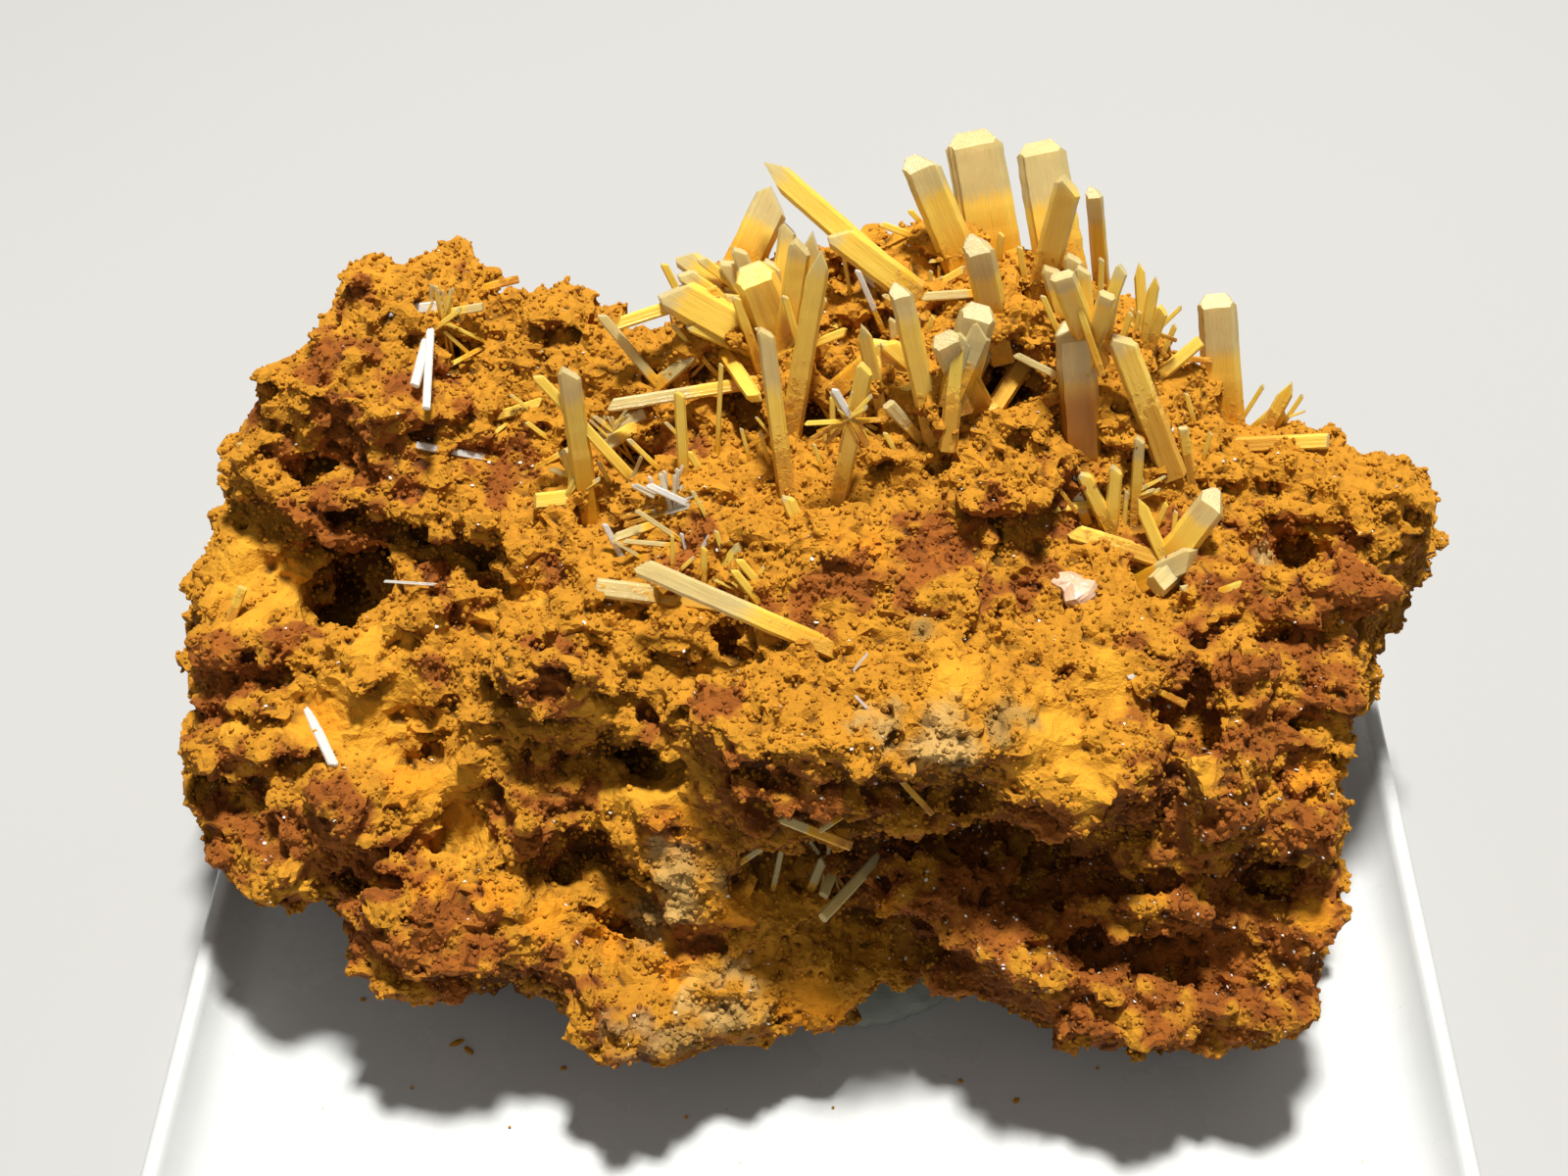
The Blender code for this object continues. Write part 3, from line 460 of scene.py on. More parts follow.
def within(name, points):  # share of a kind of patch at each place of an array, from 0 to 1
    most = np.zeros(len(points))
    for middle, reach in placed[name]:
        most = np.maximum(most, 1.0 - np.linalg.norm(points - middle, axis=1) / reach)
    fill, ragged = patchEdges[name]
    near = most > 0.0
    size = patchSettings["edgeSize"]
    edge = np.array([noise.noise(Vector(point) / size) for point in points[near]])
    most[near] = np.clip(most[near] * fill + edge * ragged, 0.0, 1.0)
    return most


def behind(points):  # patches of noise where the photo doesn't show the stone
    back = backSettings
    away = np.clip((points[:, 1] - back["start"]) / back["fade"], 0.0, 1.0)
    near = away > 0.0
    share = np.array([
        noise.noise(Vector(point) / back["broad"])
        + back["fineShare"] * noise.noise(Vector(point) / back["fine"])
        for point in points[near]
    ])
    away[near] *= np.clip((share - back["least"]) * back["gain"], 0.0, 1.0)
    return away


def smoothness(points):
    return np.maximum(within("powder", points), behind(points))


def outerTree(stone, crystals):  # the stone's surface without the seats that the crystals stand in
    bm = mergedCopy(stone)
    bm.normal_update()
    near = BVHTree.FromBMesh(crystals)
    seats = []
    for face in bm.faces:
        start = face.calc_center_median() + face.normal * stoneSettings["lift"]
        if near.ray_cast(start, face.normal, stoneSettings["seatReach"])[0] is not None:
            seats.append(face)
    bmesh.ops.delete(bm, geom=seats, context="FACES")
    tree = BVHTree.FromBMesh(bm)
    bm.free()
    return tree


def depthIn(tree, point):  # how deep a place lies under a surface
    spot, normal, _, _ = tree.find_nearest(point)
    return (spot - point).dot(normal)


def ballMesh(balls, detail=1):  # one mesh of many balls, each with its middle, half sizes and turn
    bm = bmesh.new()
    bmesh.ops.create_icosphere(bm, subdivisions=detail, radius=1.0)
    bm.verts.index_update()
    shape = np.array([vert.co[:] for vert in bm.verts])
    faces = np.array([[vert.index for vert in face.verts] for face in bm.faces])
    bm.free()
    verts = np.concatenate([(shape * half) @ np.array(turn).T + middle for middle, half, turn in balls])
    steps = np.arange(len(balls))[:, None, None] * len(shape)
    mesh = bpy.data.meshes.new("balls")
    mesh.from_pydata(verts.tolist(), [], (faces[None] + steps).reshape(-1, 3).tolist())
    return mesh


def addBalls(bm, balls, detail=1):
    mesh = ballMesh(balls, detail)
    bm.from_mesh(mesh)
    bpy.data.meshes.remove(mesh)


def plugSeats(bm, tree, crystals):  # closes the seats with balls of stone round the crystals' roots
    radius = stoneSettings["plugRadius"]
    spots = {}
    for face in crystals.faces:
        corners = [vert.co for vert in face.verts]
        edge1 = corners[1] - corners[0]
        edge2 = corners[2] - corners[0]
        steps = max(2, int(max(edge1.length, edge2.length) / stoneSettings["plugSpacing"]))
        for i in range(steps + 1):
            for j in range(steps + 1 - i):
                spot = corners[0] + edge1 * (i / steps) + edge2 * (j / steps)
                spots[tuple(round(value / stoneSettings["plugSpacing"]) for value in spot)] = spot
    half = (radius, radius, radius)
    deep = [spot for spot in spots.values() if depthIn(tree, spot) > stoneSettings["plugDepth"]]
    addBalls(bm, [(spot, half, Matrix.Identity(3)) for spot in deep])


def buildBody():  # the stone as one skin with its seats closed
    nodes = frame["nodes"]
    crystals = bmesh.new()
    for name, node in nodes.items():
        if name not in ("box_base", "matrix", "mounting_putty"):
            crystals.from_mesh(node.data)
    tree = outerTree(nodes["matrix"].data, crystals)
    bm = mergedCopy(nodes["matrix"].data)
    crystals.faces.ensure_lookup_table()
    plugSeats(bm, tree, crystals)
    crystals.free()
    stone = addObject("limonite", bm, stoneMaterial, True)
    voxelSkin(stone, stoneSettings["bodyVoxel"])
    return stone


def scatter(mesh, count, seed, wanted):
    chance = random.Random(seed)
    sums = np.cumsum([face.area for face in mesh.polygons]).tolist()
    tried = []
    for _ in range(count):
        face = mesh.polygons[min(len(sums) - 1, bisect.bisect(sums, chance.random() * sums[-1]))]
        corners = [mesh.vertices[index].co for index in face.vertices[:3]]
        a, b = chance.random(), chance.random()
        if a + b > 1.0:
            a, b = 1.0 - a, 1.0 - b
        place = corners[0] + (corners[1] - corners[0]) * a + (corners[2] - corners[0]) * b
        tried.append((place, face.normal.copy()))
    smooth = smoothness(np.array([place[:] for place, _ in tried]))
    shares = [wanted(place, normal, soft) for (place, normal), soft in zip(tried, smooth)]
    return [spot for spot, share in zip(tried, shares) if chance.random() < share], chance


clodSettings = {
    "count": 10500,
    "tries": 2,
    "seed": 5,
    "size": (0.22, 0.95),
    "fewLarge": 2.4,
    "stretch": (0.7, 1.25),
    "flat": (0.5, 0.85),
    "tilt": 0.4,
    "rise": (-0.45, 0.3),
    "bedSquash": 3.2,
    "rowSize": 3.4 * mm,
    "fineRows": (2.7, 0.7),
    "rows": 1.6,
    "usual": 0.5,
    "least": 0.03,
    "powder": 0.9,
}


def clodShare(place, normal, smooth):  # clods stand in rows along the beds, off the powdery slopes
    laid = bedded(place, clodSettings["bedSquash"]) / clodSettings["rowSize"]
    finer, fineShare = clodSettings["fineRows"]
    row = noise.noise(laid) * clodSettings["rows"] + noise.noise(laid * finer) * fineShare
    share = clodSettings["usual"] + row - clodSettings["powder"] * smooth
    return max(clodSettings["least"], min(1.0, share))


hollowSettings = {"edgeSize": 1.4 * mm, "edge": 0.55, "fill": 1.35, "rim": 0.6, "near": 5.0 * mm}


def carve(stone):  # presses the hollows in along the lines of sight
    places = placesOf(stone.data)
    px, py, depth = seenPoints(places)
    facing = -(normalsOf(stone.data) * (places - np.array(eye))).sum(axis=1)
    press = np.zeros(len(places))
    size = hollowSettings["edgeSize"]
    rim = hollowSettings["rim"]
    ragged = np.array([noise.noise(Vector(place) / size) for place in places]) * hollowSettings["edge"]
    for x, y, wide, tall, roll, deep in hollows:
        front = (hit(stoneTree, x, y) - eye).dot(ahead)
        turn = math.radians(roll)
        u = ((px - x) * math.cos(turn) + (py - y) * math.sin(turn)) / wide
        v = ((py - y) * math.cos(turn) - (px - x) * math.sin(turn)) / tall
        share = np.clip(hollowSettings["fill"] - np.hypot(u, v) + ragged, 0.0, rim) / rim
        share *= (np.abs(depth - front) < hollowSettings["near"]) & (facing > 0.0)
        press = np.maximum(press, share * share * (3.0 - 2.0 * share) * deep * mm)
    away = places - np.array(eye)
    away /= np.linalg.norm(away, axis=1)[:, None]
    setPlaces(stone.data, places + away * press[:, None])


knobSettings = {
    "spacing": 0.75,
    "pointSize": 0.0465,
    "jitter": 0.3,
    "size": (0.45, 1.0),
    "stretch": (0.8, 1.25),
    "flat": 0.75,
    "rise": Vector((0.0, -0.25, 0.5)),
}


def ridgeBalls(chance):  # knobs along the ridges, a little above the stone so that they shade it
    balls = []
    for size, *points in ridges:
        jitter = size / knobSettings["pointSize"] * knobSettings["jitter"]
        apart = size * knobSettings["spacing"] * mm
        for (x0, y0), (x1, y1) in zip(points, points[1:]):
            steps = max(1, int(math.hypot(x1 - x0, y1 - y0) * pxSize / apart))
            for step in range(steps):
                share = (step + chance.random()) / steps
                px = x0 + (x1 - x0) * share + chance.uniform(-jitter, jitter)
                py = y0 + (y1 - y0) * share + chance.uniform(-jitter, jitter)
                place = hit(stoneTree, px, py)
                radius = size * chance.uniform(*knobSettings["size"]) * mm
                half = [radius * chance.uniform(*knobSettings["stretch"]) for _ in range(2)]
                half.append(radius * knobSettings["flat"])
                turn = Matrix.Rotation(chance.uniform(0.0, fullTurn), 3, "Z")
                balls.append((place + knobSettings["rise"] * radius, half, turn))
    return balls


def addClods(stone):  # joins clods of crumb and the rows of knobs to the stone
    count = clodSettings["count"]
    spots, chance = scatter(stone.data, count * clodSettings["tries"], clodSettings["seed"], clodShare)
    bm = bmesh.new()
    bm.from_mesh(stone.data)
    tilt = clodSettings["tilt"]
    balls = []
    for place, normal in spots[:count]:
        size = drawSize(chance, clodSettings)
        half = [size * chance.uniform(*clodSettings["stretch"]) for _ in range(2)]
        half.append(size * chance.uniform(*clodSettings["flat"]))
        turn = Matrix.Rotation(chance.uniform(0.0, fullTurn), 3, "Z")
        turn = Matrix.Rotation(chance.uniform(-tilt, tilt), 3, "X") @ turn
        balls.append((place + normal * size * chance.uniform(*clodSettings["rise"]), half, turn))
    addBalls(bm, balls + ridgeBalls(chance))
    bm.to_mesh(stone.data)
    bm.free()
    voxelSkin(stone, stoneSettings["clodVoxel"])


# Each relief of the crumb: its size, the distance or noise at which it starts, and its strength
crumbleSettings = {
    "powder": 0.85,
    "bedSquash": 1.5,
    "lump": (1.2 * mm, 0.42, 0.34),
    "crumb": (0.5 * mm, 0.45, 0.25),
    "crumbOnPowder": (0.2, 0.8),
    "pit": (1.1 * mm, 0.28, -1.2),
    "pitShift": Vector((7.0, 3.0, 1.0)),
    "grain": (0.26 * mm, 0.07),
}


def crumbled(point, smooth):  # how far the crumb moves the surface out
    rough = 1.0 - crumbleSettings["powder"] * smooth
    laid = bedded(point, crumbleSettings["bedSquash"])
    size, start, strength = crumbleSettings["lump"]
    lump = (start - noise.voronoi(laid / size)[0][0]) * strength
    size, start, strength = crumbleSettings["crumb"]
    crumb = (start - noise.voronoi(laid / size)[0][0]) * strength
    size, start, strength = crumbleSettings["pit"]
    pit = max(0.0, noise.noise(laid / size + crumbleSettings["pitShift"]) - start) * strength
    size, strength = crumbleSettings["grain"]
    grain = noise.noise(point / size) * strength
    least, gain = crumbleSettings["crumbOnPowder"]
    return ((lump + pit) * rough + crumb * (least + gain * rough) + grain) * mm


def crumble(stone):
    places = placesOf(stone.data)
    normals = normalsOf(stone.data)
    smooth = smoothness(places)
    moves = [crumbled(Vector(place), soft) for place, soft in zip(places, smooth)]
    setPlaces(stone.data, places + normals * np.array(moves)[:, None])


def keepLargest(obj):
    bm = bmesh.new()
    bm.from_mesh(obj.data)
    unseen = set(bm.verts)
    bodies = []
    while unseen:
        body = {unseen.pop()}
        edge = list(body)
        while edge:
            for link in edge.pop().link_edges:
                for other in link.verts:
                    if other in unseen:
                        unseen.discard(other)
                        body.add(other)
                        edge.append(other)
        bodies.append(body)
    bodies.sort(key=len)
    loose = [vert for body in bodies[:-1] for vert in body]
    bmesh.ops.delete(bm, geom=loose, context="VERTS")
    bm.to_mesh(obj.data)
    bm.free()


# The hollow and hidden layers carry painted shade into the stone's colour
stoneLayers = ("powder", "rust", "orange", "tan", "hollow", "hidden")
hiddenSettings = {
    "lift": 0.05,
    "reach": 5.0 * mm,
    "ways": ((0.0, 0.2, 1.0), (0.6, -0.5, 1.0), (-0.6, -0.5, 1.0)),
}


def storeLayers(mesh, hollow, hidden):  # what the stone's colours read at each place
    places = placesOf(mesh)
    shares = [within(name, places) for name in ("rust", "orange", "tan")]
    for name, values in zip(stoneLayers, (smoothness(places), *shares, hollow, hidden)):
        mesh.attributes.new(name, "FLOAT", "POINT").data.foreach_set("value", values)


def paintStone(stone):  # finds how hollow and how hidden the stone is at each place
    mesh = stone.data
    places = placesOf(mesh)
    normals = normalsOf(mesh)
    ends = np.empty(len(mesh.edges) * 2, dtype=int)
    mesh.edges.foreach_get("vertices", ends)
    ends = ends.reshape(-1, 2)
    bend = np.zeros(len(places))
    count = np.zeros(len(places))
    for here, there in ((0, 1), (1, 0)):
        away = places[ends[:, there]] - places[ends[:, here]]
        away /= np.linalg.norm(away, axis=1)[:, None]
        np.add.at(bend, ends[:, here], (away * normals[ends[:, here]]).sum(axis=1))
        np.add.at(count, ends[:, here], 1.0)
    tree = treeOf(mesh)
    ways = [Vector(way).normalized() for way in hiddenSettings["ways"]]
    hidden = np.zeros(len(places))
    for index, (place, normal) in enumerate(zip(places, normals)):
        start = Vector(place + normal * hiddenSettings["lift"] * mm)
        for way in ways:
            if tree.ray_cast(start, way, hiddenSettings["reach"])[0] is not None:
                hidden[index] += 1.0 / len(ways)
    storeLayers(mesh, bend / np.maximum(count, 1.0), hidden)


# Noises as scale, detail and roughness. Colours are linear, in pairs where noise mixes them
stoneFinish = {
    "noises": ((180.0, 4.0, 0.6), (900.0, 4.0, 0.65), (3800.0, 3.0, 0.7)),
    "crumb": ((0.34, 0.135, 0.008), (0.61, 0.28, 0.018)),
    "powder": ((0.56, 0.25, 0.014), (0.73, 0.352, 0.026)),
    "rust": ((0.12, 0.031, 0.004), (0.42, 0.128, 0.013)),
    "tan": ((0.24, 0.155, 0.05), (0.52, 0.35, 0.125)),
    "orange": (0.68, 0.245, 0.008),
    # painted shade for hollows and hidden places
    "gap": (0.018, 0.006, 0.002),
    "orangeShare": 0.75,
    "tanShare": 0.75,
    "hollowShare": 0.75,
    "hiddenShare": 0.72,
    "dustAndShade": (0.5, 1.08),
    "roughness": 0.92,
    "specular": 0.25,
    "relief": (0.85, 0.00016),
}


def makeStoneMaterial():
    material, tree, shader = newMaterial("crumbly ochre limonite")
    place = placeOf(tree)
    powder, rust, orange, tan, hollow, hidden = [attributeOf(tree, name) for name in stoneLayers]
    broad, fine, grain = [noiseOf(tree, place, *values) for values in stoneFinish["noises"]]
    parts = tree.nodes.new("ShaderNodeSeparateXYZ")
    plug(tree, tree.nodes.new("ShaderNodeNewGeometry").outputs["Normal"], parts.inputs[0])
    crumby = mix(tree, fine, *stoneFinish["crumb"])
    powdery = mix(tree, fine, *stoneFinish["powder"])
    ochre = mix(tree, powder, crumby, powdery)
    ochre = mix(tree, times(tree, orange, stoneFinish["orangeShare"]), ochre, stoneFinish["orange"])
    rusty = mix(tree, fine, *stoneFinish["rust"])
    # Ochre dust lies on what is open and powdery and stays off what is rusty; faces turned up get more
    # ochre partly as dust and partly as painted light, and hidden places get less as painted shade
    share = times(tree, spread(tree, parts.outputs["Z"], -0.35, 0.7), 0.55)
    share = plus(tree, share, plus(tree, broad, times(tree, grain, 0.4)))
    for layer, weight in ((hidden, -0.35), (powder, 0.5), (rust, -0.8)):
        share = plus(tree, share, times(tree, layer, weight))
    colour = mix(tree, spread(tree, share, *stoneFinish["dustAndShade"]), rusty, ochre)
    greyed = mix(tree, spread(tree, broad, 0.4, 0.6), *stoneFinish["tan"])
    colour = mix(tree, times(tree, tan, stoneFinish["tanShare"]), colour, greyed)
    # Painted shade: hollows and places hidden from above are darkened towards near black
    deep = times(tree, spread(tree, hollow, 0.1, 0.42), stoneFinish["hollowShare"])
    shaded = times(tree, spread(tree, hidden, 0.3, 1.0), stoneFinish["hiddenShare"])
    colour = mix(tree, math2(tree, "MAXIMUM", deep, shaded), colour, stoneFinish["gap"])
    setShader(tree, shader, {
        "Base Color": colour,
        "Roughness": stoneFinish["roughness"],
        "Specular IOR Level": stoneFinish["specular"],
    })
    bump(tree, shader, plus(tree, times(tree, fine, 0.5), grain), *stoneFinish["relief"])
    return material


stoneMaterial = makeStoneMaterial()
stone = buildBody()
stageDone("stone body", len(stone.data.polygons))
stoneTree = treeOf(stone.data)
placePatches()
carve(stone)
voxelSkin(stone, stoneSettings["bodyVoxel"])
addClods(stone)
stageDone("clods", len(stone.data.polygons))
crumble(stone)
keepLargest(stone)
stageDone("crumb")
thinTo(stone, stoneSettings["triangles"])
paintStone(stone)
standFor(stone, "stone", "matrix")
stageDone("stone", len(stone.data.polygons))

# Box base
traySettings = {
    "side": 60.0,
    "corners": 10,
    "crumbFloor": 1.65,
    "crumbHeight": 0.09,
    "colours": ((0.58, 0.60, 0.60), (0.64, 0.65, 0.64)),
    "dust": (0.5, 0.42, 0.3),
    # half side less than the outer one, height and corner radius of each ring, in millimetres
    "rings": [
        (0.5, 0.0, 1.6), (0.15, 0.12, 1.9), (0.0, 0.5, 2.0), (0.0, 3.0, 2.0), (0.07, 3.32, 1.95),
        (0.25, 3.5, 1.8), (0.65, 3.5, 1.5), (0.85, 3.4, 1.4), (0.98, 3.1, 1.3), (1.5, 2.3, 1.1),
        (2.1, 1.75, 0.9), (2.6, 1.6, 0.8), (3.4, 1.57, 0.7),
    ],
}


def roundedRing(bm, half, corner, height):
    ring = []
    steps = traySettings["corners"]
    for quarter in range(4):
        for step in range(steps + 1):
            angle = math.radians(90.0 * (quarter + step / steps))
            square = Vector((half - corner, half - corner, 0.0))
            square.rotate(Matrix.Rotation(math.radians(90.0 * quarter), 3, "Z"))
            arc = Vector((math.cos(angle), math.sin(angle), 0.0)) * corner
            ring.append(bm.verts.new(((square + arc) * mm).to_tuple()[:2] + (height * mm,)))
    return ring


def makeTray():
    material, tree, shader = newMaterial("white box plastic")
    place = placeOf(tree)
    smudge = noiseOf(tree, place, 120.0, 5.0, 0.6)
    dust = noiseOf(tree, place, 2600.0, 2.0, 0.5)
    colour = mix(tree, spread(tree, smudge, 0.3, 0.8), *traySettings["colours"])
    colour = mix(tree, spread(tree, dust, 0.74, 0.8), colour, traySettings["dust"])
    rough = spread(tree, smudge, 0.3, 0.8, 0.22, 0.36)
    setShader(tree, shader, {"Base Color": colour, "Roughness": rough})
    bump(tree, shader, smudge, 0.05, 0.0001)
    bm = bmesh.new()
    skinRings(bm, [
        roundedRing(bm, traySettings["side"] / 2.0 - inset, corner, height)
        for inset, height, corner in traySettings["rings"]
    ])
    bmesh.ops.recalc_face_normals(bm, faces=bm.faces)
    standFor(addObject("tray", bm, material, True), "white_plastic", "box_base")


makeTray()
stageDone("tray")

# Loose crumbs on the tray's floor: picture point, half sizes in millimetres and turn in degrees
trayCrumbs = [
    (466, 1064, 0.42, 0.16, 30), (478, 1072, 0.36, 0.14, -40), (370, 1020, 0.16, 0.12, 0),
    (575, 1090, 0.18, 0.12, 20), (628, 1088, 0.14, 0.1, 0), (1037, 1123, 0.2, 0.14, 50),
    (980, 1103, 0.14, 0.12, 0), (700, 1140, 0.1, 0.08, 0), (420, 1110, 0.09, 0.07, 0),
    (1120, 1090, 0.1, 0.08, 0), (850, 1130, 0.08, 0.07, 0), (520, 1150, 0.08, 0.06, 0),
]


def makeTrayCrumbs():
    balls = []
    for px, py, wide, deep, turn in trayCrumbs:
        line = sight(px, py)
        spot = eye + line * ((traySettings["crumbFloor"] * mm - eye.z) / line.z)
        half = (wide * mm, deep * mm, traySettings["crumbHeight"] * mm)
        balls.append((spot, half, Matrix.Rotation(math.radians(turn), 3, "Z")))
    addLoose("tray_crumbs", ballMesh(balls), stoneMaterial, "stone")


makeTrayCrumbs()

# Putty
puttySettings = {
    "mottle": (500.0, 4.0, 0.6),
    "colours": ((0.20, 0.235, 0.20), (0.34, 0.37, 0.32)),
    "roughness": 0.55,
    "relief": (0.4, 0.0002),
    "voxel": 0.25 * mm,
    "swells": ((3.0 * mm, 0.3), (0.9 * mm, 0.08)),
    "lowest": 1.6 * mm,
}


def makePutty():
    bm = mergedCopy(frame["nodes"]["mounting_putty"].data)
    putty = addObject("putty", bm, mottledMaterial("grey putty", puttySettings), True)
    voxelSkin(putty, puttySettings["voxel"])
    bm = bmesh.new()
    bm.from_mesh(putty.data)
    bm.normal_update()
    for vert in bm.verts:
        swell = sum(noise.noise(vert.co / size) * most for size, most in puttySettings["swells"])
        vert.co += vert.normal * swell * mm
        vert.co.z = max(vert.co.z, puttySettings["lowest"])
    bm.to_mesh(putty.data)
    bm.free()
    standFor(putty, "putty", "mounting_putty")


makePutty()
stageDone("putty")

# Crystals
crystalSettings = {
    "bury": 1.8 * mm,
    "ringEvery": 0.45 * mm,
    "perSide": 5,
    "grooves": 0.08,
    "drift": 0.03,
    "wander": 0.6,
    "taper": 0.07,
    "narrower": 0.03,
    "hexagon": 0.866,
    "stripesApart": 7.3,
    "stripeStretch": 0.06,
}

# Cuts at a tip: start across as a share of half the width, how far below the tip as a share of
# the width, and the tilts across and through in degrees
tipCuts = {
    "flat": [(0.0, 0.05, 8.0, 4.0)],
    "slant": [(0.0, 0.35, 38.0, 8.0), (-0.7, 0.3, -48.0, 0.0)],
    "point": [(0.0, 0.1, 46.0, 0.0), (-0.35, 0.05, -36.0, 10.0), (0.0, 0.25, 0.0, 40.0)],
    "blunt": [(0.45, 0.0, 48.0, 0.0), (-0.5, 0.0, -44.0, 0.0), (0.0, 0.12, 0.0, 36.0)],
    "spear": [(0.0, 0.0, 62.0, 0.0), (0.0, 0.0, -70.0, 0.0)],
}
